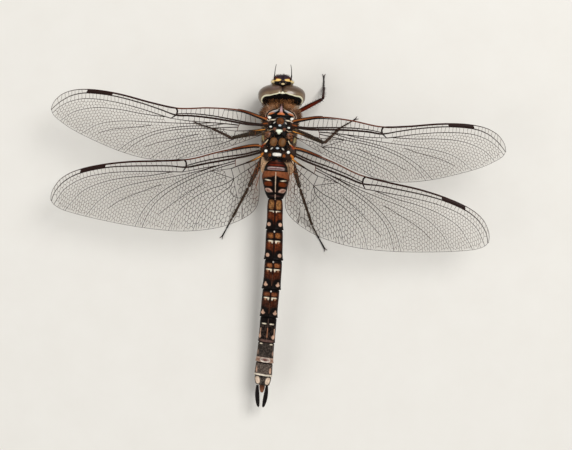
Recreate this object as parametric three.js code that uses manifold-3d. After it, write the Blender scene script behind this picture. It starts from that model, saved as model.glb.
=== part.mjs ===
// A male darner dragonfly at life size, standing with its wings spread flat.
// Millimetres, +Z up, floor at Z = 0. The head points to -Y and the left wings to +X.
// While it is built, X = Y = 0 is the middle of the thorax. The last lines move the
// origin to the floor under the middle of the whole animal.
import * as THREE from 'three';
import { mergeVertices } from 'three/addons/utils/BufferGeometryUtils.js';
import Module from 'manifold-3d';

const wasm = await Module();
wasm.setup();

// ---- Driving dimensions ----

const GAP = 0.3; // clear space between pieces that touch in life
const LEFT = 1; // side of the body, as the sign of X
const RIGHT = -1;

const THORAX = {
  sides: 20, // corners of each cross-section
  power: 2.3, // 2 is an ellipse, more is squarer
  // Each section: place along Y, half width, top height, bottom height.
  sections: [
    { y: -7.6, half: 1.9, top: 9.2, bottom: 5.2 },
    { y: -7.15, half: 3.0, top: 10.1, bottom: 4.4 },
    { y: -6.4, half: 3.8, top: 11.1, bottom: 3.7 },
    { y: -5.3, half: 3.95, top: 11.8, bottom: 3.4 },
    { y: -3.8, half: 3.75, top: 12.1, bottom: 3.3 },
    { y: -1.6, half: 3.55, top: 12.1, bottom: 3.4 },
    { y: 0.8, half: 3.45, top: 12.0, bottom: 3.7 },
    { y: 3.0, half: 3.4, top: 11.6, bottom: 4.0 },
    { y: 5.6, half: 3.5, top: 10.8, bottom: 4.5 },
    { y: 8.0, half: 3.1, top: 9.6, bottom: 5.2 },
  ],
  // The rear face slopes from the back down to the belly.
  rearTop: { y: 3.1, z: 11.6 },
  rearBottom: { y: 7.6, z: 4.8 },
};

// Low domes along the thorax's back: place, half width, half length, half height.
const BACK_DOMES = [
  { x: 0, y: -4.3, z: 11.9, halfWidth: 0.8, halfLength: 0.8, halfHeight: 0.65 },
  { x: 0, y: -2.1, z: 12.0, halfWidth: 0.8, halfLength: 0.6, halfHeight: 0.5 },
  { x: 0.75, y: 0, z: 11.9, halfWidth: 0.7, halfLength: 0.9, halfHeight: 0.5 },
  { x: -0.75, y: 0, z: 11.9, halfWidth: 0.7, halfLength: 0.9, halfHeight: 0.5 },
  { x: 0, y: 2.5, z: 11.7, halfWidth: 0.95, halfLength: 0.5, halfHeight: 0.45 },
];

const NECK = {
  sides: 14,
  power: 2.1,
  sections: [
    { y: -7.9, half: 1.5, top: 9.0, bottom: 5.8 },
    { y: -8.2, half: 1.45, top: 8.9, bottom: 5.9 },
    { y: -8.6, half: 0.9, top: 8.4, bottom: 6.4 },
  ],
};

// Both eyes together make one egg, which the middle plane parts.
const EYES = {
  x: 0,
  y: -9.95,
  z: 8.35,
  halfWidth: 4.98,
  halfLength: 2.5,
  halfHeight: 3.35,
  power: 2.3,
};

const HEAD = {
  // The back of the head is flat below, slopes forwards above, and is hollow for the neck.
  rearY: -8.0,
  slopeFromZ: 8.4,
  slopeTop: { y: -10.3, z: 11.4 },
  capsule: { x: 0, y: -9.1, z: 7.8, halfWidth: 4.1, halfLength: 1.35, halfHeight: 3.2, power: 3 },
  hollow: { x: 0, y: -7.9, z: 7.4, halfWidth: 2.0, halfLength: 1.15, halfHeight: 2.0 },
  vertex: { x: 0, y: -12.35, z: 10.85, halfWidth: 0.75, halfLength: 0.55, halfHeight: 0.6 },
  frons: { x: 0, y: -12.85, z: 9.55, halfWidth: 1.9, halfLength: 1.45, halfHeight: 1.3, power: 2.3 },
  clypeus: { x: 0, y: -12.4, z: 7.9, halfWidth: 2.3, halfLength: 1.5, halfHeight: 1.9, power: 2.5 },
  labrum: { x: 0, y: -12.2, z: 6.1, halfWidth: 2.2, halfLength: 1.4, halfHeight: 1.45, power: 2.4 },
  labium: { x: 0, y: -10.4, z: 4.9, halfWidth: 2.1, halfLength: 1.9, halfHeight: 0.85, power: 2.3 },
};

// The head is rolled a little to the right and turned a little to the left about the neck.
const HEAD_POSE = { neck: [0, -8.3, 8.3], rollDegrees: -4, turnDegrees: 2.5 };

const ANTENNA = {
  base: [1.6, -13.3, 10.75],
  bend: [1.78, -14.2, 11.25],
  tip: [1.5, -16.25, 11.85],
  baseRadius: 0.3,
  tipRadius: 0.25,
};

// The abdomen's centre line sinks evenly towards the tail and bows a little sideways.
const SPINE = {
  startY: 6,
  startZ: 8.3,
  fall: 0.08, // per millimetre towards the tail
  // How far to the left the line lies, at places along the body.
  sway: [
    [2, 0.2],
    [5, 0.19],
    [8, 0.12],
    [13, -0.12],
    [18.5, -0.36],
    [24.5, -0.56],
    [28, -0.6],
    [33.8, -0.42],
    [40, -0.32],
    [44, -0.2],
    [47, -0.12],
    [51, 0],
    [56, 0.08],
  ],
};

// Abdomen segments from front to back. Along each, half widths and half heights are
// given at even steps from its front edge to its rear edge.
const SEGMENTS = [
  {
    name: 'abdomen_1',
    from: 2.6,
    to: 6.0,
    halfWidths: [1.9, 2.2, 2.55],
    halfHeights: [2.2, 2.45, 2.6],
  },
  {
    name: 'abdomen_2',
    from: 6.0,
    to: 11.8,
    halfWidths: [2.6, 2.9, 2.72, 2.42, 2.15, 1.5],
    halfHeights: [2.6, 2.65, 2.35, 2.0, 1.7, 1.4],
  },
  {
    name: 'abdomen_3',
    from: 11.8,
    to: 18.3,
    halfWidths: [1.5, 1.66, 1.67, 1.7, 1.9],
    halfHeights: [1.35, 1.4, 1.4, 1.4, 1.5],
  },
  {
    name: 'abdomen_4',
    from: 18.3,
    to: 24.7,
    halfWidths: [1.74, 1.82, 1.84, 1.88, 2.05],
    halfHeights: [1.45, 1.48, 1.48, 1.5, 1.6],
  },
  {
    name: 'abdomen_5',
    from: 24.7,
    to: 30.92,
    halfWidths: [1.82, 1.86, 1.86, 1.9, 2.05],
    halfHeights: [1.5, 1.5, 1.5, 1.52, 1.6],
  },
  {
    name: 'abdomen_6',
    from: 30.92,
    to: 36.85,
    halfWidths: [1.78, 1.8, 1.8, 1.8, 1.92],
    halfHeights: [1.48, 1.48, 1.48, 1.48, 1.55],
  },
  {
    name: 'abdomen_7',
    from: 36.85,
    to: 42.2,
    halfWidths: [1.74, 1.74, 1.75, 1.8],
    halfHeights: [1.45, 1.45, 1.45, 1.5],
  },
  {
    name: 'abdomen_8',
    from: 42.2,
    to: 46.52,
    halfWidths: [1.72, 1.74, 1.8, 1.92],
    halfHeights: [1.42, 1.42, 1.42, 1.48],
  },
  {
    name: 'abdomen_9',
    from: 46.52,
    to: 49.45,
    halfWidths: [1.78, 1.84, 1.92],
    halfHeights: [1.36, 1.36, 1.38],
  },
  {
    name: 'abdomen_10',
    from: 49.45,
    to: 51.36,
    halfWidths: [1.8, 1.7, 1.4],
    halfHeights: [1.25, 1.2, 1.0],
  },
];
const SEGMENT_SIDES = 14;
const SEGMENT_POWER = 2.15;

// The pair of leaf-shaped claspers at the tail, and the short plate under them.
const CERCUS = { baseX: 1.0, tipX: 0.5, from: 51.55, to: 56.2, halfWidths: [0.28, 0.42, 0.48, 0.42, 0.27] };
const EPIPROCT = { from: 51.6, to: 53.2, halfWidths: [0.65, 0.55, 0.3], drop: 0.95 };
const TAIL_PLATE_HALF_HEIGHT = 0.27;

// Each wing is a plate in its own frame: u runs out from the hinge, v towards the head.
// lead and trail give its front and rear outlines, from the hinge to the tip.
const WING = { thickness: 0.5, spanSteps: 22, chordSteps: 6, rootReach: -0.9 };
const FOREWING = {
  hinge: { y: -3.8, z: 11.45 },
  hingeX: { [LEFT]: 2.96, [RIGHT]: 2.73 }, // away from the middle plane
  sweep: { [LEFT]: 0.85, [RIGHT]: 3.8 }, // degrees towards the tail
  stretch: { [LEFT]: 0.988, [RIGHT]: 0.985 }, // the two sides differ a little in length
  rise: 1.4, // degrees, root to tip
  arch: 0.5, // how far the rear edge hangs below the front edge, at most
  length: 45.2,
  lead: [
    [-1, 0.4],
    [1.5, 1.3],
    [5.5, 2.35],
    [12, 2.5],
    [18.5, 2.05],
    [24, 2.85],
    [30.5, 4.2],
    [36, 4.9],
    [40, 4.75],
    [42.8, 3.8],
    [44.3, 2.5],
    [44.95, 1.4],
    [45.2, 0.6],
  ],
  trail: [
    [-1, -1.7],
    [2, -3.0],
    [8, -5.5],
    [14, -7.5],
    [20, -8.8],
    [24.5, -8.75],
    [30, -7.6],
    [36, -5.5],
    [41, -3.3],
    [43.8, -1.5],
    [44.85, -0.55],
    [45.2, 0.2],
  ],
};
const HINDWING = {
  hinge: { y: 2.65, z: 10.75 },
  hingeX: { [LEFT]: 3.35, [RIGHT]: 2.74 },
  sweep: { [LEFT]: 15.5, [RIGHT]: 18.9 },
  stretch: { [LEFT]: 0.995, [RIGHT]: 0.993 },
  rise: -0.5,
  arch: 0.6,
  length: 45.4,
  lead: [
    [-1, 1.1],
    [0.2, 1.8],
    [1.6, 2.1],
    [4, 2.22],
    [9, 2.2],
    [15, 1.95],
    [21, 2.8],
    [28, 4.0],
    [35, 4.55],
    [39.5, 4.3],
    [42.5, 3.3],
    [44.3, 1.75],
    [45.1, 0.5],
    [45.4, -0.4],
  ],
  trail: [
    [-1, -0.8],
    [0.6, -2.4],
    [1.6, -5.0],
    [2.2, -8.0],
    [3.2, -10.4],
    [5.2, -11.9],
    [9, -12.95],
    [13, -13.2],
    [18, -12.75],
    [23, -11.6],
    [30, -9.2],
    [38, -5.8],
    [43, -3.3],
    [44.6, -2.1],
    [45.2, -1.3],
    [45.4, -0.9],
  ],
};

const LEG = {
  sides: 8,
  jointClear: 0.28, // each limb stops this far short of a joint's centre
  thinnest: 0.25,
  coxaRadius: 0.6,
  femurRadius: { fore: 0.5, middle: 0.5, hind: 0.55 },
  tibiaRadius: 0.34,
  tarsusRadius: 0.28,
  tarsusSink: 0.1, // how far the toe's round underside is flattened on the floor
  ankleHeight: 0.75,
};
// The joints of each leg, for a leg on the left. Ankles are at one height and toes on the floor.
const LEGS = [
  {
    name: 'fore',
    side: RIGHT,
    root: [1.2, -5.7, 4.6],
    hip: [2.4, -6.5, 2.9],
    knee: [8.7, -10.2, 4.9],
    ankle: [8.8, -13.0],
    toe: [8.65, -15.5],
  },
  {
    name: 'fore',
    side: LEFT,
    root: [1.2, -5.7, 4.6],
    hip: [1.7, -5.2, 2.75],
    knee: [4.4, -10.7, 3.7],
    ankle: [1.4, -12.5],
    toe: [-0.75, -13.7],
  },
  {
    name: 'middle',
    side: RIGHT,
    root: [1.3, -2.9, 4.4],
    hip: [2.4, -3.6, 2.6],
    knee: [9.65, -0.8, 5.3],
    ankle: [12.8, -4.5],
    toe: [16.2, -6.8],
  },
  {
    name: 'middle',
    side: LEFT,
    root: [1.3, -2.9, 4.4],
    hip: [2.4, -2.9, 2.6],
    knee: [10.1, -0.55, 5.3],
    ankle: [14.65, -2.55],
    toe: [18.4, -3.6],
  },
  {
    name: 'hind',
    side: RIGHT,
    root: [1.2, 0.3, 4.7],
    hip: [2.2, 1.0, 2.9],
    knee: [5.1, 9.1, 5.3],
    ankle: [8.35, 16.9],
    toe: [11.4, 21.7],
  },
  {
    name: 'hind',
    side: LEFT,
    root: [1.2, 0.3, 4.7],
    hip: [2.4, 1.0, 2.9],
    knee: [5.8, 9.65, 5.3],
    ankle: [8.95, 16.4],
    toe: [10.9, 20.6],
  },
];

// ---- Shape helpers ----

// A closed geometry from a list of rings of points, each ring the same length.
function loft(rings) {
  const count = rings[0].length;
  const position = rings.flat().flatMap((point) => point.toArray());
  const index = [];
  for (let i = 0; i + 1 < rings.length; i++) {
    for (let j = 0; j < count; j++) {
      const a = i * count + j;
      const b = i * count + ((j + 1) % count);
      index.push(a, b, a + count, b, b + count, a + count);
    }
  }
  const last = (rings.length - 1) * count;
  for (let j = 1; j + 1 < count; j++) {
    index.push(0, j + 1, j);
    index.push(last, last + j, last + j + 1);
  }
  const geometry = new THREE.BufferGeometry();
  geometry.setAttribute('position', new THREE.Float32BufferAttribute(position, 3));
  geometry.setIndex(index);
  return facingOut(geometry);
}

// Turns the faces over where they point into the solid.
function facingOut(geometry) {
  const position = geometry.attributes.position;
  const index = geometry.index.array;
  const corner = (k) => new THREE.Vector3().fromBufferAttribute(position, index[k]);
  let volume = 0;
  for (let k = 0; k < index.length; k += 3) {
    volume += corner(k).dot(corner(k + 1).cross(corner(k + 2)));
  }
  if (volume < 0) {
    geometry.setIndex(Array.from(index).reverse());
  }
  return geometry;
}

// A rounded cross-section in the XZ plane, between a bottom and a top height.
function crossSection({ x = 0, y, half, top, bottom }, sides, power, margin = 0) {
  const middle = (top + bottom) / 2;
  const halfHeight = (top - bottom) / 2 + margin;
  return Array.from({ length: sides }, (_, j) => {
    const angle = (2 * Math.PI * (j + 0.5)) / sides;
    return new THREE.Vector3(
      x + (half + margin) * rounded(Math.cos(angle), power),
      y,
      middle + halfHeight * rounded(Math.sin(angle), power),
    );
  });
}

function rounded(value, power) {
  return Math.sign(value) * Math.abs(value) ** (2 / power);
}

// An egg shape: an ellipsoid, or a squarer one where power is over 2.
function egg(form, margin = 0, around = 16, down = 10) {
  const { x, y, z, halfWidth, halfLength, halfHeight, power = 2 } = form;
  const geometry = new THREE.SphereGeometry(1, around, down);
  const position = geometry.attributes.position;
  for (let k = 0; k < position.count; k++) {
    const unit = new THREE.Vector3().fromBufferAttribute(position, k);
    const sum = Math.abs(unit.x) ** power + Math.abs(unit.y) ** power + Math.abs(unit.z) ** power;
    unit.multiplyScalar(sum ** (-1 / power));
    position.setXYZ(
      k,
      x + unit.x * (halfWidth + margin),
      y + unit.z * (halfLength + margin),
      z + unit.y * (halfHeight + margin),
    );
  }
  return closedCopy(geometry);
}

// The same surface with shared corners merged, so that it is one closed mesh.
function closedCopy(geometry) {
  const bare = new THREE.BufferGeometry();
  bare.setAttribute('position', geometry.attributes.position);
  bare.setIndex(geometry.index);
  return facingOut(mergeVertices(bare, 1e-4));
}

// A tube of changing radius through a few points, its lowest side flattened at the floor.
function tube(points, radii, sides = LEG.sides) {
  const across = new THREE.Vector3();
  const rings = points.map((point, i) => {
    const before = points[Math.max(i - 1, 0)];
    const after = points[Math.min(i + 1, points.length - 1)];
    const along = after.clone().sub(before).normalize();
    across.set(along.y, -along.x, 0).normalize();
    const upright = across.clone().cross(along);
    return Array.from({ length: sides }, (_, j) => {
      const angle = (2 * Math.PI * (j + 0.5)) / sides;
      const corner = point
        .clone()
        .addScaledVector(across, radii[i] * Math.cos(angle))
        .addScaledVector(upright, radii[i] * Math.sin(angle));
      corner.z = Math.max(corner.z, 0);
      return corner;
    });
  });
  return loft(rings);
}

// A smooth curve v(u) through the outline's points, by cubic pieces.
function outline(points) {
  const slope = (i) => {
    const [u0, v0] = points[Math.max(i - 1, 0)];
    const [u1, v1] = points[Math.min(i + 1, points.length - 1)];
    return (v1 - v0) / (u1 - u0);
  };
  return (u) => {
    const next = points.findIndex(([place], i) => i > 0 && u <= place);
    const i = (next < 0 ? points.length - 1 : next) - 1;
    const [u0, v0] = points[i];
    const [u1, v1] = points[i + 1];
    const width = u1 - u0;
    const t = THREE.MathUtils.clamp((u - u0) / width, 0, 1);
    const rise = (slope(i) * t * (1 - t) ** 2 - slope(i + 1) * t * t * (1 - t)) * width;
    return v0 + (v1 - v0) * t * t * (3 - 2 * t) + rise;
  };
}

// ---- Joining and cutting ----

function toSolid(geometry) {
  return new wasm.Manifold(
    new wasm.Mesh({
      numProp: 3,
      vertProperties: new Float32Array(geometry.attributes.position.array),
      triVerts: new Uint32Array(geometry.index.array),
    }),
  );
}

function toGeometry(solid) {
  const mesh = solid.getMesh();
  const geometry = new THREE.BufferGeometry();
  geometry.setAttribute('position', new THREE.BufferAttribute(mesh.vertProperties, mesh.numProp));
  geometry.setIndex(new THREE.BufferAttribute(mesh.triVerts, 1));
  return geometry;
}

// A block that fills everything behind a plane through two points of the YZ plane.
function blockBehind(high, low) {
  const size = 40;
  const block = new THREE.BoxGeometry(size, size, size);
  block.translate(0, size / 2, 0);
  block.rotateX(Math.atan2(low.y - high.y, high.z - low.z));
  block.translate(0, (high.y + low.y) / 2, (high.z + low.z) / 2);
  return toSolid(closedCopy(block));
}

// ---- The model ----

const model = new THREE.Group();

const COLOURS = {
  thorax: { color: 0x4a3526, roughness: 0.75 },
  head: { color: 0x241d18, roughness: 0.6 },
  face: { color: 0x54404a, roughness: 0.45 },
  eye: { color: 0x7f6a5c, roughness: 0.2 },
  abdomen: { color: 0x2c211b, roughness: 0.45 },
  tail: { color: 0x2a2320, roughness: 0.45 },
  wing: { color: 0xb9b2a4, roughness: 0.25 },
  leg: { color: 0x2e2220, roughness: 0.5 },
};

function add(name, geometry, finish) {
  const mesh = new THREE.Mesh(geometry, new THREE.MeshStandardMaterial({ ...finish, metalness: 0 }));
  mesh.name = name;
  model.add(mesh);
}

function sideName(side) {
  return side === LEFT ? 'left' : 'right';
}

// ---- Thorax and neck ----

function thoraxForm(margin) {
  const { sections, sides, power, rearTop, rearBottom } = THORAX;
  const rings = sections.map((section) => crossSection(section, sides, power, margin));
  const domes = BACK_DOMES.map((dome) => toSolid(egg(dome, margin, 10, 6)));
  const whole = domes.reduce((form, dome) => form.add(dome), toSolid(loft(rings)));
  const shift = margin * 1.1;
  const high = { y: rearTop.y + shift, z: rearTop.z };
  const low = { y: rearBottom.y + shift, z: rearBottom.z };
  return whole.subtract(blockBehind(high, low));
}

const thorax = thoraxForm(0);
const thoraxKeepOut = thoraxForm(GAP);
add('thorax', toGeometry(thorax), COLOURS.thorax);

const neckRings = NECK.sections.map((section) => crossSection(section, NECK.sides, NECK.power));
add('prothorax', loft(neckRings), COLOURS.thorax);

// ---- Head ----

function addToHead(name, geometry, finish) {
  const [x, y, z] = HEAD_POSE.neck;
  geometry.translate(-x, -y, -z);
  geometry.rotateY(THREE.MathUtils.degToRad(HEAD_POSE.rollDegrees));
  geometry.rotateZ(THREE.MathUtils.degToRad(HEAD_POSE.turnDegrees));
  geometry.translate(x, y, z);
  add(name, geometry, finish);
}

// Everything on the far side of the middle plane, and a little of the near side.
function farHalf(side) {
  const size = 40;
  const block = new THREE.BoxGeometry(size, size, size);
  block.translate(side * (GAP / 2 - size / 2), 0, 0);
  return toSolid(closedCopy(block));
}

const behindHead = blockBehind({ y: HEAD.rearY, z: 9 }, { y: HEAD.rearY, z: 3 });
const aboveNape = blockBehind(HEAD.slopeTop, { y: HEAD.rearY, z: HEAD.slopeFromZ });
const bothEyes = toSolid(egg(EYES, GAP, 28, 16));

const capsuleKeepOut = toSolid(egg(HEAD.capsule, GAP));

for (const side of [LEFT, RIGHT]) {
  const eye = toSolid(egg(EYES, 0, 28, 16)).subtract(farHalf(side));
  const shell = eye.subtract(capsuleKeepOut).subtract(behindHead).subtract(aboveNape);
  addToHead(`eye_${sideName(side)}`, toGeometry(largest(shell)), COLOURS.eye);
}

const capsule = toSolid(egg(HEAD.capsule)).subtract(behindHead).subtract(aboveNape);
addToHead('head', toGeometry(capsule.subtract(toSolid(egg(HEAD.hollow)))), COLOURS.head);

// The biggest of the separate lumps that a cut leaves.
function largest(solid) {
  return solid.decompose().sort((a, b) => b.volume() - a.volume())[0];
}

const faceEggs = [HEAD.vertex, HEAD.frons, HEAD.clypeus, HEAD.labrum];
const faceForms = faceEggs.map((form) => toSolid(egg(form, 0, 14, 8)));
const wholeFace = faceForms.reduce((form, part) => form.add(part));
const face = wholeFace.subtract(bothEyes).subtract(capsuleKeepOut);
addToHead('face', toGeometry(largest(face)), COLOURS.face);

const faceKeepOut = toSolid(egg(HEAD.labrum, GAP));
const wholeLabium = toSolid(egg(HEAD.labium, 0, 14, 8));
const labium = wholeLabium.subtract(bothEyes).subtract(capsuleKeepOut).subtract(faceKeepOut);
addToHead('labium', toGeometry(largest(labium)), COLOURS.face);

for (const side of [LEFT, RIGHT]) {
  const stations = [ANTENNA.base, ANTENNA.bend, ANTENNA.tip];
  const points = stations.map(([x, y, z]) => new THREE.Vector3(x * side, y, z));
  const { baseRadius, tipRadius } = ANTENNA;
  const bristle = toSolid(tube(points, [baseRadius, baseRadius, tipRadius], 6));
  const clear = bristle.subtract(toSolid(egg(HEAD.frons, GAP))).subtract(toSolid(egg(HEAD.vertex, GAP)));
  addToHead(`antenna_${sideName(side)}`, toGeometry(largest(clear.subtract(bothEyes))), COLOURS.head);
}

// ---- Abdomen ----

const spineX = outline(SPINE.sway);

function spineZ(y) {
  return SPINE.startZ - SPINE.fall * (y - SPINE.startY);
}

function segmentForm({ from, to, halfWidths, halfHeights }) {
  const front = from + GAP / 2;
  const rear = to - GAP / 2;
  const rings = halfWidths.map((half, i) => {
    const y = front + ((rear - front) * i) / (halfWidths.length - 1);
    const top = spineZ(y) + halfHeights[i];
    const bottom = spineZ(y) - halfHeights[i];
    return crossSection({ x: spineX(y), y, half, top, bottom }, SEGMENT_SIDES, SEGMENT_POWER);
  });
  return loft(rings);
}

for (const segment of SEGMENTS) {
  const form = segmentForm(segment);
  const touchesThorax = segment.from < THORAX.rearBottom.y;
  const clear = touchesThorax ? toGeometry(toSolid(form).subtract(thoraxKeepOut)) : form;
  add(segment.name, clear, COLOURS.abdomen);
}

function tailPlate(from, to, halfWidths, centreX, z) {
  const rings = halfWidths.map((half, i) => {
    const t = i / (halfWidths.length - 1);
    const section = {
      x: centreX(t),
      y: from + (to - from) * t,
      half,
      top: z + TAIL_PLATE_HALF_HEIGHT,
      bottom: z - TAIL_PLATE_HALF_HEIGHT,
    };
    return crossSection(section, 8, 2);
  });
  return loft(rings);
}

for (const side of [LEFT, RIGHT]) {
  const { baseX, tipX, from, to, halfWidths } = CERCUS;
  const centreX = (t) => spineX(from) + side * THREE.MathUtils.lerp(baseX, tipX, t * t);
  add(`cercus_${sideName(side)}`, tailPlate(from, to, halfWidths, centreX, spineZ(from)), COLOURS.tail);
}

const epiproctX = () => spineX(EPIPROCT.from);
const epiproctZ = spineZ(EPIPROCT.from) - EPIPROCT.drop;
const epiproct = tailPlate(EPIPROCT.from, EPIPROCT.to, EPIPROCT.halfWidths, epiproctX, epiproctZ);
add('epiproct', epiproct, COLOURS.tail);

// ---- Wings ----

// The plate's middle surface hangs from its front edge to its rear edge in one arch.
function wingPoint(wing, side, u, v, hang) {
  const sweep = THREE.MathUtils.degToRad(wing.sweep[side]);
  const reach = u * wing.stretch[side];
  const out = reach * Math.cos(sweep) + v * Math.sin(sweep);
  const back = reach * Math.sin(sweep) - v * Math.cos(sweep);
  const z = wing.hinge.z + u * Math.tan(THREE.MathUtils.degToRad(wing.rise)) - hang;
  return new THREE.Vector3(side * (wing.hingeX[side] + out), wing.hinge.y + back, z);
}

function wingForm(wing, side) {
  const lead = outline(wing.lead);
  const trail = outline(wing.trail);
  const { thickness, spanSteps, chordSteps, rootReach } = WING;
  const rings = [];
  for (let i = 0; i <= spanSteps; i++) {
    const spread = (1 - Math.cos((Math.PI * i) / spanSteps)) / 2;
    const u = rootReach + (wing.length - rootReach) * spread;
    const under = [];
    const upper = [];
    for (let j = 0; j <= chordSteps; j++) {
      const share = j / chordSteps;
      const v = THREE.MathUtils.lerp(lead(u), trail(u), share);
      const middle = wingPoint(wing, side, u, v, wing.arch * share * share);
      upper.push(middle.clone().add(new THREE.Vector3(0, 0, thickness / 2)));
      under.unshift(middle.clone().sub(new THREE.Vector3(0, 0, thickness / 2)));
    }
    rings.push([...upper, ...under]);
  }
  return loft(rings);
}

for (const side of [LEFT, RIGHT]) {
  for (const [name, wing] of [['forewing', FOREWING], ['hindwing', HINDWING]]) {
    const plate = toSolid(wingForm(wing, side)).subtract(thoraxKeepOut);
    add(`${name}_${sideName(side)}`, toGeometry(largest(plate)), COLOURS.wing);
  }
}

// ---- Legs ----

// A limb between two joints, thickest before its middle, clear of both joints.
function limb(start, end, radius) {
  const clear = LEG.jointClear / start.distanceTo(end);
  const stops = [clear, 2.2 * clear, 0.4, 0.75, 1 - clear];
  const girths = [0.55, 0.9, 1, 0.85, 0.55];
  const points = stops.map((stop) => start.clone().lerp(end, stop));
  return tube(points, girths.map((girth) => Math.max(girth * radius, LEG.thinnest)));
}

for (const leg of LEGS) {
  const { side, name } = leg;
  const place = ([x, y, z]) => new THREE.Vector3(side * x, y, z);
  const root = place(leg.root);
  const hip = place(leg.hip);
  const knee = place(leg.knee);
  const ankle = place([...leg.ankle, LEG.ankleHeight]);
  const toe = place([...leg.toe, LEG.tarsusRadius - LEG.tarsusSink]);
  const sole = ankle.clone().lerp(toe, 0.4).setZ(LEG.tarsusRadius - LEG.tarsusSink);
  const heel = ankle.clone().lerp(sole, 0.2).setZ(LEG.ankleHeight * 0.8);
  const label = `${name}_${sideName(side)}`;

  const coxa = toSolid(limb(root, hip, LEG.coxaRadius)).subtract(thoraxKeepOut);
  add(`coxa_${label}`, toGeometry(largest(coxa)), COLOURS.leg);
  add(`femur_${label}`, limb(hip, knee, LEG.femurRadius[name]), COLOURS.leg);
  add(`tibia_${label}`, limb(knee, ankle, LEG.tibiaRadius), COLOURS.leg);
  const tarsus = tube([heel, sole, toe], [LEG.thinnest, LEG.tarsusRadius, LEG.thinnest]);
  add(`tarsus_${label}`, tarsus, COLOURS.leg);
}

// ---- Origin: on the floor, under the middle of the whole animal ----

const box = new THREE.Box3().setFromObject(model);
const middle = box.getCenter(new THREE.Vector3());
model.position.set(-middle.x, -middle.y, -box.min.z);

export default model;
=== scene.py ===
"""A male darner dragonfly, life size, on a pale floor, seen from straight above.

Shapes are worked out in millimetres in the animal's own frame: X = Y = 0 is the middle
of the thorax, the head points to -Y, the left wings to +X, and the floor is Z = 0.
in_metres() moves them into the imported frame. A tone is a colour as it looks on screen,
0 to 255; linear() turns it into the values that nodes take.
"""

import math

import bpy
import numpy as np
from mathutils import Matrix, Vector
from mathutils.geometry import delaunay_2d_cdt


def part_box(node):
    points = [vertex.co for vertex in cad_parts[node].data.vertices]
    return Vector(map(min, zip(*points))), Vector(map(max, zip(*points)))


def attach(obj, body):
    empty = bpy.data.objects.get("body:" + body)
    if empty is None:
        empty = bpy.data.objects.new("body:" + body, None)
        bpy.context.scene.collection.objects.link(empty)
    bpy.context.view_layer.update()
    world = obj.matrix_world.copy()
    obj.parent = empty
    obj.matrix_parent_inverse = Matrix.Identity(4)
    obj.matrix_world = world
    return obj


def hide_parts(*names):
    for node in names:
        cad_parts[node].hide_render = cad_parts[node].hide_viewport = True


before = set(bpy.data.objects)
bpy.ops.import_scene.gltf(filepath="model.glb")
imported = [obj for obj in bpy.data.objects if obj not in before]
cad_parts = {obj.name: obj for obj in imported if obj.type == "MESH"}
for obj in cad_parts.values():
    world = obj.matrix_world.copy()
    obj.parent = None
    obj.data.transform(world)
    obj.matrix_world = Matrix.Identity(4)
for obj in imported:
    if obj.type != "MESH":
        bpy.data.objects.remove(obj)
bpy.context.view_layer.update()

LEFT = 1
RIGHT = -1
SIDES = {"left": LEFT, "right": RIGHT}
BODY = "root"

# The thorax is built from Y = -7.6 mm about X = 0, so its box gives the frame's shift.
THORAX_FRONT = -7.6
thorax_low, thorax_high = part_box("thorax")
SHIFT = np.array([(thorax_low[0] + thorax_high[0]) * 500, thorax_low[1] * 1000 - THORAX_FRONT, 0])


def in_metres(points):
    return (np.asarray(points, float) + SHIFT) * 0.001


# ---------------------------------------------------------------- numbers and curves


def linear(red, green, blue):
    shown = np.array([red, green, blue]) / 255
    return np.where(shown <= 0.04045, shown / 12.92, ((shown + 0.055) / 1.055) ** 2.4)


def smoothstep(low, high, value):
    t = np.clip((np.asarray(value, float) - low) / (high - low), 0, 1)
    return t * t * (3 - 2 * t)


def bell(value, width):
    """A smooth bump of height 1 about zero."""
    return np.exp(-((value / width) ** 2))


def lengths_of(vectors):
    return np.linalg.norm(vectors, axis=1)


def units(vectors):
    return vectors / np.maximum(lengths_of(vectors), 1e-12)[:, None]


def outline(points):
    """A smooth curve v(u) through a few points, by cubic pieces."""
    us, vs = np.array(points, float).T
    before = np.maximum(np.arange(len(us)) - 1, 0)
    after = np.minimum(np.arange(len(us)) + 1, len(us) - 1)
    slopes = (vs[after] - vs[before]) / (us[after] - us[before])

    def at(u):
        u = np.asarray(u, float)
        i = np.clip(np.searchsorted(us, u) - 1, 0, len(us) - 2)
        width = us[i + 1] - us[i]
        t = np.clip((u - us[i]) / width, 0, 1)
        bend = slopes[i] * t * (1 - t) ** 2 - slopes[i + 1] * t * t * (1 - t)
        return vs[i] + (vs[i + 1] - vs[i]) * t * t * (3 - 2 * t) + bend * width

    return at


def evenly(values):
    """The outline through values spaced evenly from 0 to 1."""
    return outline(list(zip(np.linspace(0, 1, len(values)), values)))


# ---------------------------------------------------------------- meshes

# The head is rolled a little to the right and turned a little to the left about the neck.
NECK = np.array([0, -8.3, 8.3])
HEAD_ROLL = Matrix.Rotation(math.radians(-4), 3, "Y")
HEAD_TURN = Matrix.Rotation(math.radians(2.5), 3, "Z")
HEAD_POSE = np.array(HEAD_TURN @ HEAD_ROLL)

DEEPEN = 1.22  # how much darker and richer the paints are laid than their tones on screen


def add_object(name, data):
    thing = bpy.data.objects.new(name, data)
    bpy.context.scene.collection.objects.link(thing)
    return thing


def make_piece(name, points, faces, colours, material, slot, replaces=()):
    if slot in ("head", "eye"):
        points = (points - NECK) @ HEAD_POSE.T + NECK
    mesh = bpy.data.meshes.new(name)
    mesh.from_pydata(in_metres(points), [], faces)
    paint = mesh.color_attributes.new("paint", "FLOAT_COLOR", "POINT")
    rgba = np.ones((len(points), 4), np.float32)
    rgba[:, :3] = np.asarray(colours) ** DEEPEN
    paint.data.foreach_set("color", rgba.ravel())
    mesh.polygons.foreach_set("use_smooth", [True] * len(mesh.polygons))
    mesh.materials.append(material)
    mesh.update()
    piece = add_object(name, mesh)
    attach(piece, BODY)
    if replaces:
        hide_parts(*replaces)
    return piece


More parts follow.
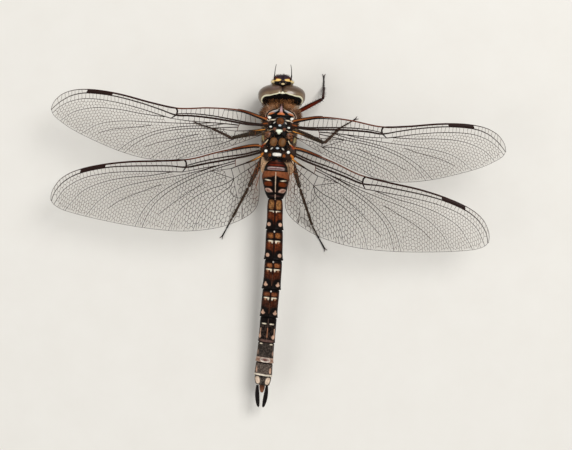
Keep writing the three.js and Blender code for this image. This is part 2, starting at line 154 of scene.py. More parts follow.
def grid_faces(rows, columns):
    """Quads of a grid of rows of points, each row closed on itself."""
    i, j = np.meshgrid(np.arange(rows - 1), np.arange(columns), indexing="ij")
    a = i * columns + j
    b = i * columns + (j + 1) % columns
    return np.stack([a, b, b + columns, a + columns], -1).reshape(-1, 4)


def capped_rings(rings):
    """Points and faces of a row of rings, closed by a flat face at each end."""
    count, sides = rings.shape[:2]
    faces = grid_faces(count, sides)[:, ::-1].tolist()
    faces += [list(range(sides)), [count * sides - 1 - j for j in range(sides)]]
    return rings.reshape(-1, 3), faces


def closed_sheet(upper, lower, side):
    """Points and faces of two layers of a grid of points, joined round their edge."""
    rows, columns = upper.shape[:2]
    loop = 2 * columns
    faces = grid_faces(rows, loop).tolist()
    for end in (0, (rows - 1) * loop):
        for j in range(columns - 1):
            quad = [end + j, end + j + 1, end + loop - 2 - j, end + loop - 1 - j]
            faces.append(quad if end else quad[::-1])
    if side == RIGHT:
        faces = [face[::-1] for face in faces]
    return np.concatenate([upper, lower[:, ::-1]], 1).reshape(-1, 3), faces


def tube(points, radii, sides, up=(0, 0, 1)):
    """A tube of changing radius along a path, closed at both ends by a point."""
    points = np.asarray(points, float)
    radii = np.broadcast_to(np.asarray(radii, float), (len(points),))[:, None, None]
    along = units(np.gradient(points, axis=0))
    side = units(np.cross(along, np.asarray(up, float)))
    rise = np.cross(side, along)
    angle = (2 * np.pi * np.arange(sides) / sides)[None, :, None]
    ring = points[:, None] + radii * np.cos(angle) * side[:, None] + radii * np.sin(angle) * rise[:, None]
    cloud = np.concatenate([ring.reshape(-1, 3), points[:1], points[-1:]])
    faces = grid_faces(len(points), sides).tolist()
    first, last = len(cloud) - 2, len(cloud) - 1
    end = (len(points) - 1) * sides
    for j in range(sides):
        after = (j + 1) % sides
        faces.append([first, after, j])
        faces.append([last, end + j, end + after])
    return cloud, faces


class Pile:
    """Points, faces and colours gathered into one mesh."""

    def __init__(self):
        self.points = []
        self.faces = []
        self.colours = []
        self.count = 0

    def add(self, points, faces, colour):
        self.faces.extend([[int(corner) + self.count for corner in face] for face in faces])
        self.points.append(points)
        self.colours.append(np.broadcast_to(colour, (len(points), 3)))
        self.count += len(points)

    def rod(self, path, radii, sides, tones, **shape):
        """A tube, of one colour or of one for each point of its path."""
        if np.ndim(tones) == 2:
            tones = np.concatenate([np.repeat(tones, sides, axis=0), tones[:1], tones[-1:]])
        self.add(*tube(path, radii, sides, **shape), tones)

    def piece(self, name, *looks):
        make_piece(name, np.concatenate(self.points), self.faces, np.concatenate(self.colours), *looks)


# ---------------------------------------------------------------- materials


def feed(tree, socket, value):
    """Link a socket to another, or set its plain value."""
    if isinstance(value, bpy.types.NodeSocket):
        tree.links.new(value, socket)
    else:
        socket.default_value = value


def add_node(tree, kind, inputs=(), **settings):
    node = tree.nodes.new(f"ShaderNode{kind}")
    for setting, value in settings.items():
        setattr(node, setting, value)
    for socket, value in dict(inputs).items():
        feed(tree, node.inputs[socket], value)
    return node


def principled(name, roughness, **plain):
    material = bpy.data.materials.new(name)
    material.use_nodes = True
    shader = material.node_tree.nodes["Principled BSDF"]
    shader.inputs["Roughness"].default_value = roughness
    for socket, value in plain.items():
        shader.inputs[socket.replace("_", " ")].default_value = value
    return material, material.node_tree, shader


def noise(tree, scale, detail):
    """Noise in the object's own millimetres; scale counts waves for each millimetre."""
    place = add_node(tree, "TexCoord")
    mapping = add_node(tree, "Mapping", {"Scale": [1000] * 3, "Vector": place.outputs["Object"]})
    inputs = {"Scale": scale, "Detail": detail, "Roughness": 0.6, "Vector": mapping.outputs["Vector"]}
    return add_node(tree, "TexNoise", inputs).outputs["Fac"]


def ramp(tree, value, low, high, start=0.3, stop=0.7):
    """A number from a noise, stretched from low to high."""
    inputs = {"From Min": start, "From Max": stop, "To Min": low, "To Max": high, "Value": value}
    return add_node(tree, "MapRange", inputs).outputs["Result"]


def painted(tree, shader, variation, low, high):
    """Base colour from the mesh's paint, made lighter and darker by a noise."""
    paint = add_node(tree, "Attribute", attribute_name="paint")
    shade = add_node(tree, "VectorMath", {0: paint.outputs["Color"]}, operation="SCALE")
    feed(tree, shade.inputs["Scale"], ramp(tree, variation, low, high))
    feed(tree, shader.inputs["Base Color"], shade.outputs["Vector"])


def two_toned(tree, shader, factor, first, second):
    """Base colour between two tones, by a noise."""
    inputs = {"A": (*linear(*first), 1), "B": (*linear(*second), 1), "Factor": factor}
    mix = add_node(tree, "Mix", inputs, data_type="RGBA")
    feed(tree, shader.inputs["Base Color"], mix.outputs["Result"])


def bumped(tree, shader, height, distance, strength=1.0):
    bump = add_node(tree, "Bump", {"Strength": strength, "Distance": distance, "Height": height})
    feed(tree, shader.inputs["Normal"], bump.outputs["Normal"])


def cuticle(name, roughness, pores_per_mm, bump_mm, mottling=(0.75, 1.25), gloss=0.3):
    """Insect shell: paint with fine mottling, pores and an uneven sheen."""
    material, tree, shader = principled(name, roughness, Specular_IOR_Level=gloss)
    mottle = noise(tree, 1.6, 4.0)
    pores = noise(tree, pores_per_mm, 3.0)
    painted(tree, shader, mottle, *mottling)
    feed(tree, shader.inputs["Roughness"], ramp(tree, pores, roughness - 0.12, roughness + 0.12))
    bumped(tree, shader, pores, bump_mm * 0.001)
    return material


def membrane_material():
    material, tree, shader = principled("wing_membrane", 0.12, Alpha=0.06, IOR=1.45)
    ripple = noise(tree, 0.9, 2.0)
    two_toned(tree, shader, ripple, (146, 124, 96), (112, 92, 70))
    bumped(tree, shader, ripple, 0.00006)
    return material


def vein_material():
    material, tree, shader = principled("wing_veins", 0.45, Specular_IOR_Level=0.15)
    painted(tree, shader, noise(tree, 2.5, 3.0), 0.8, 1.25)
    bumped(tree, shader, noise(tree, 14.0, 2.0), 0.000008)
    return material


def eye_material():
    material, tree, shader = principled("eye_glass", 0.28, Coat_Weight=0.35, Coat_Roughness=0.12)
    painted(tree, shader, noise(tree, 0.8, 3.0), 0.88, 1.12)
    place = add_node(tree, "TexCoord")
    facets = add_node(tree, "TexVoronoi", {"Scale": 22000, "Vector": place.outputs["Object"]})
    bumped(tree, shader, facets.outputs["Distance"], 0.000012, 0.4)
    return material


# ---------------------------------------------------------------- wings

COSTA_RED = linear(114, 60, 29)
BASE_ORANGE = linear(190, 126, 68)
VEIN_BROWN = linear(54, 34, 24)
CROSS_BROWN = linear(70, 52, 37)
OUTER_BROWN = linear(98, 74, 52)
STIGMA_BROWN = linear(50, 28, 21)
NODUS_BROWN = linear(40, 22, 16)
# Black of the strips beside the veins at the hinge: partly dark membrane, partly painted shadow.
BORDER_AND_SHADOW_BLACK = linear(30, 20, 15)
# Colour of each long vein at the hinge; the others start brown.
VEIN_BASES = {
    "Sc": linear(44, 28, 22),
    "R": linear(44, 28, 22),
    "Cu": linear(206, 146, 72),
    "A": linear(60, 36, 24),
}

MEMBRANE_HALF = 0.012
MEMBRANE_ROWS = 150
MEMBRANE_COLUMNS = 44
NARROWED = 0.56  # a vein's radius as a share of the width that is given for it
INNER_REACH = 19  # how far out the cross-veins are brown and a little thicker
TIP_REACH = 2.2  # how far from the tip the edges curve round it
PLEAT = 0.17  # height of the ridges and valleys near the hinge
RIDGES = {"lead": 1, "Sc": -1, "R": 1, "RP": -0.7, "MA": 0.6, "A": -0.3}

# Widths of the long veins that are alike in both pairs of wings.
VEIN_WIDTHS = {
    "RP": 0.22, "RP1": 0.17, "RP2": 0.15, "IR2": 0.15, "RP3": 0.17, "MA": 0.18, "A": 0.18, "MP": 0.16,
    "CuA": 0.16,
}

FOREWING = {
    "hinge": {LEFT: (2.96, -3.8, 11.45), RIGHT: (2.73, -3.8, 11.45)},
    "sweep": {LEFT: 0.85, RIGHT: 3.8},
    "stretch": {LEFT: 0.988, RIGHT: 0.985},
    "rise": 1.4,
    "arch": 0.5,
    "length": 45.2,
    "lead": [
        (-1, 0.4), (1.5, 1.3), (5.5, 2.35), (12, 2.5), (18.5, 2.05), (24, 2.85), (30.5, 4.2),
        (36, 4.9), (40, 4.75), (42.8, 3.8), (44.3, 2.5), (44.95, 1.4), (45.2, 0.45),
    ],
    "trail": [
        (-1, -1.7), (2, -3.0), (8, -5.5), (14, -7.5), (20, -8.8), (24.5, -8.75), (30, -7.6),
        (36, -5.5), (41, -3.3), (43.8, -1.5), (44.85, -0.55), (45.2, 0.25),
    ],
    # Long veins, as points (u, v) from the hinge outwards.
    "veins": {
        "Sc": [(0.4, -0.3), (3.5, -0.12), (7.6, 0.45), (12, 0.97), (16, 1.1), (18.85, 0.9)],
        "R": [
            (0.4, -0.48), (3.9, -0.46), (7.7, 0.02), (12, 0.46), (16, 0.66), (18.9, 0.62), (22.3, 1.6),
            (26.5, 2.75), (32.4, 3.9), (38, 4.18), (41, 3.5), (43.2, 2.2), (44.6, 0.95), (45.15, 0.35),
        ],
        "RP": [(5.6, -0.75), (7.8, -0.62), (12, -0.52), (16, -0.44), (20, -0.1)],
        "RP1": [
            (20, -0.1), (22.4, 0.5), (26.6, 1.6), (32, 2.65), (37.5, 3.05), (41, 2.35), (43.5, 1.0),
            (44.9, -0.3),
        ],
        "RP2": [(21.3, 0.15), (26, 0.5), (31, 1.15), (36, 1.25), (40.5, 0.1), (43.2, -1.85)],
        "IR2": [
            (11, -0.53), (15, -0.9), (20, -1.05), (25, -1.1), (30, -1.2), (35, -2.1), (38.8, -4.35),
        ],
        "RP3": [(8.6, -0.6), (12, -1.2), (16, -1.5), (20, -2.1), (24, -3.25), (28, -5.2), (30.8, -7.4)],
        "MA": [
            (5.75, -1.15), (8, -1.35), (12, -1.72), (16, -2.02), (20, -2.65), (24, -3.9),
            (27.5, -5.95), (29.4, -7.75),
        ],
        "Cu": [(0.1, -1.3), (2.6, -1.72), (5.9, -1.95), (6.3, -2.0)],
        "A": [(0.2, -2.2), (1.7, -2.65), (3.4, -2.8), (4.9, -3.05), (6.7, -3.75)],
        "MP": [(6.7, -3.75), (9, -3.55), (13, -4.1), (18, -5.4), (22, -7.3), (24, -8.75)],
        "CuA": [(6.7, -3.75), (9.5, -4.9), (13, -6.0), (16.5, -7.6), (18.2, -8.5)],
    },
    # Their widths in millimetres; the radius has a list of (u, width).
    "widths": {
        "Sc": 0.34,
        "R": [(0, 0.4), (18.9, 0.34), (20.5, 0.24), (37, 0.2), (45, 0.12)],
        "Cu": 0.26,
        **VEIN_WIDTHS,
    },
    "nodus": (18.95, 20.0),
    "arculus": [(5.35, -0.3), (5.75, -0.95), (5.9, -1.95)],
    "triangle": [(6.3, -2.0), (11.3, -1.66), (6.7, -3.75)],
    "stigma": (32.5, 37.9),
    "extra": [
        [(24, -1.75), (28, -2.45), (32, -3.0), (35, -3.9)],
        [(14, -3.05), (18, -4.15), (22, -5.15), (25.3, -6.3)],
    ],
}

HINDWING = {
    "hinge": {LEFT: (3.35, 2.65, 10.75), RIGHT: (2.74, 2.65, 10.75)},
    "sweep": {LEFT: 15.5, RIGHT: 18.9},
    "stretch": {LEFT: 0.995, RIGHT: 0.993},
    "rise": -0.5,
    "arch": 0.6,
    "length": 45.4,
    "lead": [
        (-1, 1.1), (0.2, 1.8), (1.6, 2.1), (4, 2.22), (9, 2.2), (15, 1.95), (21, 2.8), (28, 4.0),
        (35, 4.55), (39.5, 4.3), (42.5, 3.3), (44.3, 1.75), (45.1, 0.5), (45.4, -0.6),
    ],
    "trail": [
        (-1, -0.8), (0.6, -2.4), (1.6, -5.0), (2.2, -8.0), (3.2, -10.4), (5.2, -11.9), (9, -12.95),
        (13, -13.2), (18, -12.75), (23, -11.6), (30, -9.2), (38, -5.8), (43, -3.3), (44.6, -2.1),
        (45.2, -1.3), (45.4, -0.75),
    ],
    "veins": {
        "Sc": [(0.3, 0.85), (3.8, 0.72), (8, 0.95), (12.5, 1.0), (15.9, 0.8)],
        "R": [
            (0.2, 0.4), (2.8, 0.22), (7.3, 0.28), (12, 0.4), (16.0, 0.45), (19.4, 1.4), (23.7, 2.3),
            (30, 3.45), (34, 3.82), (38.5, 3.68), (41.5, 2.85), (43.8, 1.35), (44.9, 0.0),
            (45.3, -0.75),
        ],
        "RP": [(5.7, -0.25), (8.8, -0.5), (13, -0.42), (17.1, -0.35)],
        "RP1": [
            (17.1, -0.35), (22, 0.75), (28, 1.95), (33, 2.6), (38, 2.5), (42, 1.15), (44.2, -0.75),
            (45.0, -1.55),
        ],
        "RP2": [
            (19, 0.08), (24.3, 0.3), (28.4, 0.8), (33, 0.95), (38, 0.1), (41.3, -1.9), (43.0, -3.3),
        ],
        "IR2": [
            (9.5, -0.48), (14, -0.85), (20, -0.9), (26, -0.75), (31, -1.05), (35.5, -2.7), (39, -5.3),
        ],
        "RP3": [
            (7.6, -0.42), (11.8, -0.8), (15.2, -1.36), (19.4, -2.5), (23.4, -4.1), (26.8, -6.5),
            (29.2, -9.45),
        ],
        "MA": [
            (5.9, -0.75), (8.5, -0.95), (11.6, -1.4), (15.6, -2.15), (20.3, -3.6), (24, -5.6),
            (26.6, -8.2), (27.8, -10.0),
        ],
        "Cu": [(-0.1, -0.3), (1.8, -0.85), (3.4, -1.15), (5.5, -1.45), (6.9, -1.7)],
        "A": [(0.2, -0.75), (1.2, -1.5), (2.9, -2.3), (4.7, -3.0), (6.8, -3.9)],
        "MP": [(6.8, -3.9), (9.3, -4.7), (12, -5.0), (16, -6.2), (20, -8.6), (22.5, -11.7)],
        "CuA": [(6.8, -3.9), (7.9, -5.3), (9.4, -6.0), (12.5, -7.6), (15.5, -10), (17.5, -12.8)],
    },
    "widths": {
        "Sc": 0.36,
        "R": [(0, 0.4), (16.1, 0.36), (18, 0.26), (37, 0.22), (45, 0.12)],
        "Cu": 0.34,
        **VEIN_WIDTHS,
    },
    "nodus": (16.15, 17.1),
    "arculus": [(5.45, 0.25), (5.75, -0.4), (5.9, -1.4)],
    "triangle": [(6.9, -1.7), (11.2, -1.36), (6.8, -3.9)],
    "stigma": (32.7, 38.1),
    "extra": [
        [(22, -2.0), (27, -2.75), (31, -3.5), (34, -4.7)],
        [(13, -3.4), (17, -4.9), (21, -6.6), (24, -8.1)],
        [(3.4, -2.5), (3.1, -4.6), (3.7, -6.9), (5.6, -8.2), (7.6, -7.4), (8.1, -5.5)],
    ],
}

# Fields of cells: upper vein, lower vein, then from, to, cell length and row height in the
# forewing and in the hindwing. TALL stands for a single row.
TALL = 9
FIELDS = [
    ("lead", "Sc", (1.3, 18.8, 0.98, TALL), (1.2, 15.9, 0.98, TALL)),
    ("Sc", "R", (1.5, 18.6, 0.98, TALL), (1.3, 15.7, 0.98, TALL)),
    ("lead", "R", (19.6, 32.4, 1.05, TALL), (16.8, 32.6, 1.05, TALL)),
    ("lead", "R", (38.2, 44.6, 0.7, TALL), (38.4, 44.9, 0.7, TALL)),
    ("R", "Cu", (1.4, 5.2, 3.0, TALL), (1.4, 5.3, 3.0, TALL)),
    ("R", "RP", (6.2, 19.6, 1.1, TALL), (6.0, 16.8, 1.1, TALL)),
    ("R", "RP1", (20.4, 44.3, 0.78, 0.85), (17.4, 44.6, 0.78, 0.85)),
    ("RP", "IR2", (12.0, 21.0, 1.0, 0.7), (10.6, 18.8, 1.0, 0.7)),
    ("RP", "RP3", (9.0, 12.0, 0.9, TALL), (8.2, 10.6, 0.9, TALL)),
    ("RP1", "RP2", (21.9, 44.4, 0.66, 0.62), (19.6, 44.4, 0.66, 0.62)),
    ("RP2", "IR2", (21.0, 43.0, 0.66, 0.6), (18.8, 43.0, 0.66, 0.6)),
    ("IR2", "RP3", (11.8, 38.6, 0.68, 0.62), (10.4, 38.8, 0.7, 0.64)),
    ("RP3", "MA", (9.2, 30.6, 0.62, 0.75), (8.2, 29.0, 0.62, 0.75)),
    ("MA", "MP", (8.2, 29.2, 0.7, 0.66), (8.4, 27.6, 0.76, 0.72)),
    ("MP", "CuA", (7.4, 24.0, 0.72, 0.68), (7.2, 22.4, 0.8, 0.78)),
    ("CuA", "trail", (6.8, 18.0, 0.8, 0.72), (6.9, 17.4, 0.86, 0.84)),
    ("Cu", "A", (0.8, 6.0, 1.2, TALL), (0.6, 6.6, 1.2, TALL)),
    ("A", "trail", (0.6, 6.8, 0.9, 0.75), (0.5, 6.9, 0.82, 0.86)),
]


def vein_colour(u, base=BASE_ORANGE, reach=3.2, outer=VEIN_BROWN):
    """One colour at the hinge, turning brown a few millimetres out."""
    t = smoothstep(0.5, reach, u)[..., None]
    return base * (1 - t) + outer * t


class Wing:
    """One wing: its curves, its sheet in space and the pile of its veins."""

    def __init__(self, shape, side):
        self.shape = shape
        self.side = side
        self.pile = Pile()
        trail = outline(shape["trail"])
        self.curves = {"lead": outline(shape["lead"]), "trail": trail}
        for name, points in shape["veins"].items():
            self.curves[name] = self.bounded(points, trail)

    @staticmethod
    def bounded(points, trail):
        """A vein's curve, which follows the rear edge past its own end."""
        inner = outline(points)
        end = points[-1][0]
        return lambda u: np.where(np.asarray(u) > end, trail(u), np.maximum(inner(u), trail(u)))

    def place(self, u, v):
        """Places in space of points (u, v), on the arched and pleated sheet."""
        u = np.asarray(u, float)
        v = np.asarray(v, float)
        lead, trail = self.curves["lead"](u), self.curves["trail"](u)
        share = np.clip((lead - v) / np.maximum(lead - trail, 0.05), 0, 1)
        order = [(self.curves[name](u), height) for name, height in RIDGES.items()]
        pleat = np.zeros_like(v)
        for (upper, high), (lower, low) in zip(order, order[1:]):
            t = np.clip((upper - v) / np.maximum(upper - lower, 0.05), 0, 1)
            pleat = np.where((v <= upper) & (v > lower), high + (low - high) * t, pleat)
        last_v, last_height = order[-1]
        pleat = np.where(v <= last_v, last_height * np.clip(1 - (last_v - v) / 3, 0, 1), pleat)
        fade = 1 - 0.75 * smoothstep(0, 30, u)  # the pleats flatten outwards
        sweep = math.radians(self.shape["sweep"][self.side])
        hinge = self.shape["hinge"][self.side]
        reach = u * self.shape["stretch"][self.side]
        x = hinge[0] + reach * math.cos(sweep) + v * math.sin(sweep)
        y = hinge[1] + reach * math.sin(sweep) - v * math.cos(sweep)
        z = hinge[2] + u * math.tan(math.radians(self.shape["rise"])) - self.shape["arch"] * share**2
        return np.stack([self.side * x, y, z + PLEAT * pleat * fade], -1)

    def between(self, upper, lower, u, share):
        """Places part of the way from one curve to another."""
        return self.place(u, self.curves[upper](u) * (1 - share) + self.curves[lower](u) * share)

    def vein(self, points, width, colour=None, taper=0.5, step=0.35, base=VEIN_BROWN):
        """A vein through points (u, v), narrowing to its end or as wide as (u, width) pairs say."""
        points = np.array(points, float)
        run = np.concatenate([[0], np.cumsum(lengths_of(np.diff(points, axis=0)))])
        t = np.linspace(0, run[-1], max(3, int(run[-1] / step) + 1))
        u, v = (outline(np.stack([run, column], 1))(t) for column in points.T)
        if isinstance(width, list):
            radii = NARROWED * np.interp(u, *zip(*width))
        else:
            radii = width * NARROWED * (1 - (1 - taper) * t / run[-1])
        self.pile.rod(self.place(u, v), radii, 6, vein_colour(u, base) if colour is None else colour)

    def beside(self, name, stop, count, offset, width, colour, taper):
        """A black strip beside a curve at the hinge: partly dark membrane, partly painted shadow of the
        vein.
        """
        u = np.linspace(0.2, stop, count)
        self.vein(np.stack([u, self.curves[name](u) + offset], 1), width, colour, taper)

    def point(self, name, u):
        return (u, float(self.curves[name](u)))


def cell_seeds(top, bottom, start, stop, cell, row, rng):
    """Middles of a field's cells, and their mirror images beyond its two long veins."""
    columns = max(1, round((stop - start) / cell))
    step = (stop - start) / columns
    seeds, mirrored = [], []
    for k in range(columns):
        middle = start + (k + 0.5) * step
        rows = max(1, round(float(top(middle) - bottom(middle)) / row))
        for r in range(rows):
            stagger = 0.25 * (1 if r % 2 else -1) if rows > 1 else 0
            u = middle + step * (stagger + rng.uniform(-0.12, 0.12))
            height = float(top(u) - bottom(u))
            if height < 0.1:
                continue
            y = height * (r + 0.5 + rng.uniform(-0.08, 0.08)) / rows
            seeds.append((u, y))
            if r == 0:
                mirrored.append((u, -y))
            if r == rows - 1:
                mirrored.append((u, 2 * height - y))
    return seeds, mirrored


def field_edges(curves, field, rng):
    """Cross-veins of one field: the borders of cells packed in rows between two long veins."""
    upper, lower, start, stop, cell, row = field
    top, bottom = curves[upper], curves[lower]
    seeds, mirrored = cell_seeds(top, bottom, start, stop, cell, row, rng)
    if len(seeds) < 2:
        return np.zeros((0, 2, 2))
    cloud = [Vector(point) for point in seeds + mirrored]
    corners, _, triangles, origin, _, _ = delaunay_2d_cdt(cloud, [], [], 0, 1e-7)
    triangles = np.array([t for t in triangles if len(t) == 3])
    is_real = np.array([bool(ids) and min(ids) < len(seeds) for ids in origin])
    a, b, c = (np.array(corners)[triangles[:, k]] for k in range(3))

    # Each border joins the centres of the circles round two neighbouring triangles.
    (bu, by), (cu, cy) = (b - a).T, (c - a).T
    twice = 2 * (bu * cy - by * cu)
    twice = np.where(np.abs(twice) < 1e-9, 1e-9, twice)
    ab, ac = bu**2 + by**2, cu**2 + cy**2
    centres = a + np.stack([cy * ab - by * ac, bu * ac - cu * ab], 1) / twice[:, None]
    beside = {}
    for index, triangle in enumerate(triangles):
        for k in range(3):
            pair = tuple(sorted((int(triangle[k]), int(triangle[(k + 1) % 3]))))
            beside.setdefault(pair, []).append(index)
    edges = [
        centres[faces]
        for (first, second), faces in beside.items()
        if len(faces) == 2 and is_real[first] and is_real[second]
    ]
    edges = np.array(edges).reshape(-1, 2, 2)
    edges[..., 0] = np.clip(edges[..., 0], start, stop)
    high = top(edges[..., 0])
    height = np.maximum(high - bottom(edges[..., 0]), 0)
    edges[..., 1] = high - np.clip(edges[..., 1], 0, height)
    length = lengths_of(edges[:, 0] - edges[:, 1])
    return edges[(length > 0.06) & (length < 3 * max(cell, 1.0))]


def struts(edges, radius):
    """Four-sided rods along many straight edges at once, with closed ends."""
    start, stop = edges[:, 0], edges[:, 1]
    along = units(stop - start)
    side = units(np.cross(along, (0, 0, 1.0)))
    rise = np.cross(side, along)
    corners = [end + radius * turn for end in (start, stop) for turn in (side, rise, -side, -rise)]
    pattern = [[j, (j + 1) % 4, (j + 1) % 4 + 4, j + 4] for j in range(4)]
    pattern += [[3, 2, 1, 0], [4, 5, 6, 7]]
    faces = (8 * np.arange(len(edges))[:, None, None] + np.array(pattern)).reshape(-1, 4)
    return np.stack(corners, 1).reshape(-1, 3), faces


def crowded(length, count):
    """Places along a wing that crowd together towards its tip."""
    return length - TIP_REACH * np.linspace(1, 0, count)[1:] ** 2


def add_edges(wing, length, nodus):
    """The thick front edge, the thin rear edge and the edge across the tip."""
    u = np.concatenate([np.linspace(-0.2, 43, 150), crowded(length, 30)])
    places = [0, 3, 6, nodus, nodus + 1, 32, 38.5, length]
    width = np.interp(u, places, [0.38, 0.34, 0.3, 0.3, 0.4, 0.38, 0.17, 0.09])
    rust = smoothstep(nodus - 1, nodus + 1, u)[:, None]
    out = smoothstep(0, 5, u)[:, None]
    tones = (BASE_ORANGE * 0.55 + COSTA_RED * 0.45) * (1 - out) + COSTA_RED * out
    tones = tones * (1 - rust) + linear(62, 28, 16) * rust
    wing.pile.rod(wing.place(u, wing.curves["lead"](u)), width / 2, 6, tones)
    u = np.sort(np.concatenate([length * np.linspace(0, 1, 60)[:-1] ** 1.6, crowded(length, 25)]))
    radii = np.interp(u, [0, 8, length], [0.06, 0.045, 0.04])
    wing.pile.rod(wing.place(u, wing.curves["trail"](u)), radii, 5, CROSS_BROWN)
    v = np.linspace(wing.point("lead", length)[1], wing.point("trail", length)[1], 5)
    wing.pile.rod(wing.place(np.full(5, length), v), 0.045, 5, CROSS_BROWN)


def add_long_veins(wing, shape):
    # Black strips beside the front edge and the Cu vein near the hinge: partly dark membrane, partly
    # painted shadow of the veins.
    wing.beside("lead", 9, 24, -0.28, 0.42, linear(26, 18, 14), 0.2)
    wing.beside("lead", 6, 16, 0.22, 0.3, BORDER_AND_SHADOW_BLACK, 0.3)
    for offset in (-0.16, 0.16):
        wing.beside("Cu", 3.6, 12, offset, 0.16, BORDER_AND_SHADOW_BLACK, 0.3)
    for name, points in shape["veins"].items():
        wing.vein(points, shape["widths"][name], base=VEIN_BASES.get(name, VEIN_BROWN))
    for points in shape["extra"]:
        wing.vein(points, 0.12, VEIN_BROWN, 0.7)

    # Nodus: a stout strut from the front edge through the radius to the vein below it.
    nodus, subnodus = shape["nodus"]
    front, radius = wing.point("lead", nodus), wing.point("R", nodus)
    elbow = (nodus - 0.22, 0.55 * front[1] + 0.27)
    wing.vein([front, elbow, radius], 0.34, NODUS_BROWN, 0.9, 0.12)
    wing.vein([radius, wing.point("RP1", subnodus)], 0.28, NODUS_BROWN, 0.6, 0.12)
    wing.vein(shape["arculus"], 0.13, linear(120, 66, 34), 0.8, 0.12)
    corners = shape["triangle"]
    for first, second in zip(corners, corners[1:] + corners[:1]):
        wing.vein([first, second], 0.12, VEIN_BROWN, 0.9)


def add_cells(wing, fields, rng):
    edges = np.concatenate([field_edges(wing.curves, field, rng) for field in fields])
    ends = wing.place(edges[..., 0], edges[..., 1])
    apart = lengths_of(ends[:, 0] - ends[:, 1]) > 0.05
    ends, u = ends[apart], edges[apart, 0, 0]
    inner = u < INNER_REACH
    for chosen, radius, outer in ((inner, 0.045, CROSS_BROWN), (~inner, 0.033, OUTER_BROWN)):
        tone = vein_colour(u[chosen], linear(150, 85, 40), 5.0, outer)
        wing.pile.add(*struts(ends[chosen], radius), np.repeat(tone, 8, axis=0))


def add_stigma(wing, start, stop):
    """A thickened dark cell at the front edge."""
    share = np.linspace(0, 1, 12)[None]
    u = np.linspace(start, stop, 40)[:, None] + 0.35 * (share - 0.5)
    sheet = wing.between("lead", "R", u, share)
    swell = (0.09 * np.sin(np.pi * (0.12 + 0.76 * share)))[..., None] * (0, 0, 1)
    wing.pile.add(*closed_sheet(sheet + swell, sheet - swell, wing.side), STIGMA_BROWN)


def build_wing(node, shape, side, fields, membrane, veins, seed):
    wing = Wing(shape, side)
    spread = (1 - np.cos(np.pi * np.linspace(0, 1, MEMBRANE_ROWS))) / 2
    u = np.repeat((shape["length"] * spread)[:, None], MEMBRANE_COLUMNS, 1)
    sheet = wing.between("lead", "trail", u, np.linspace(0, 1, MEMBRANE_COLUMNS)[None])
    lift = np.array([0, 0, MEMBRANE_HALF])
    points, faces = closed_sheet(sheet + lift, sheet - lift, side)
    make_piece(f"{node}_membrane", points, faces, (1, 1, 1), membrane, "wing", [node])

    add_edges(wing, shape["length"], shape["nodus"][0])
    add_long_veins(wing, shape)
    add_cells(wing, fields, np.random.default_rng(seed))
    add_stigma(wing, *shape["stigma"])
    wing.pile.piece(f"{node}_veins", veins, "wing")


def build_wings():
    membrane = membrane_material()
    veins = vein_material()
    for pair, (name, shape) in enumerate((("forewing", FOREWING), ("hindwing", HINDWING))):
        fields = [(upper, lower, *spans[pair]) for upper, lower, *spans in FIELDS]
        for side_name, side in SIDES.items():
            seed = 10 * pair + side + 5
            build_wing(f"{name}_{side_name}", shape, side, fields, membrane, veins, seed)


# ---------------------------------------------------------------- rounded solids as fields

# Each net's lowest corner, highest corner and cell size, in millimetres.
THORAX_NET = ((-4.6, -9.2, 2.8), (4.6, 8.6, 13.0), 0.078)
HEAD_NET = ((-4.4, -14.7, 3.8), (4.4, -7.6, 11.9), 0.065)
EYE_NET = ((-0.1, -12.5, 4.8), (5.2, -7.8, 11.9), 0.06)
NUDGE = 0.02  # the step that a field's slope is measured over
FARTHEST_SHIFT = 0.08  # how far one step of settling may move a point


def ball(p, centre, halves, power=2.0):
    """Rough distance from a rounded solid, negative inside it: boxier as the power rises above 2."""
    reach = sum((np.abs(a - c) / h) ** power for a, c, h in zip(p, centre, halves))
    return (reach ** (1 / power) - 1) * min(halves)


def twin(p, centre, halves, power=2.0):
    """The same solid on both sides of the middle plane."""
    return ball((np.abs(p[0]), p[1], p[2]), centre, halves, power)


def join(first, second, blend):
    """Two fields as one solid, with a fillet where they meet."""
    h = np.clip(0.5 + 0.5 * (second - first) / blend, 0, 1)
    return second + (first - second) * h - blend * h * (1 - h)


def cut(first, second, blend):
    """What is left of the first solid where the second field is negative, with a rounded edge."""
    return -join(-first, -second, blend)


def join_twins(solid, p, twins):
    """Join rounded solids: centre, half sizes, power and blend of each."""
    for centre, halves, power, blend in twins:
        solid = join(solid, twin(p, centre, halves, power), blend)
    return solid


def path_distance(across, along, points):
    """Distance in a flat chart from a path of straight pieces."""
    nearest = np.full(np.broadcast(across, along).shape, np.inf)
    for (u0, v0), (u1, v1) in zip(points, points[1:]):
        du, dv = u1 - u0, v1 - v0
        t = np.clip(((across - u0) * du + (along - v0) * dv) / (du * du + dv * dv), 0, 1)
        nearest = np.minimum(nearest, np.hypot(across - u0 - t * du, along - v0 - t * dv))
    return nearest


def crossing_points(values, cells, corners):
    """The mean of the places where each cell's edges cross the surface, in cells."""
    total = np.zeros((len(cells), 3))
    count = np.zeros(len(cells))
    for corner in corners:
        for axis in range(3):
            if corner[axis]:
                continue
            a = values[tuple((cells + corner).T)]
            b = values[tuple((cells + corner + np.eye(3, dtype=int)[axis]).T)]
            hit = (a < 0) != (b < 0)
            crossing = np.tile(np.array(corner, float), (hit.sum(), 1))
            crossing[:, axis] += a[hit] / (a[hit] - b[hit])
            total[hit] += crossing
            count[hit] += 1
    return cells + total / count[:, None]


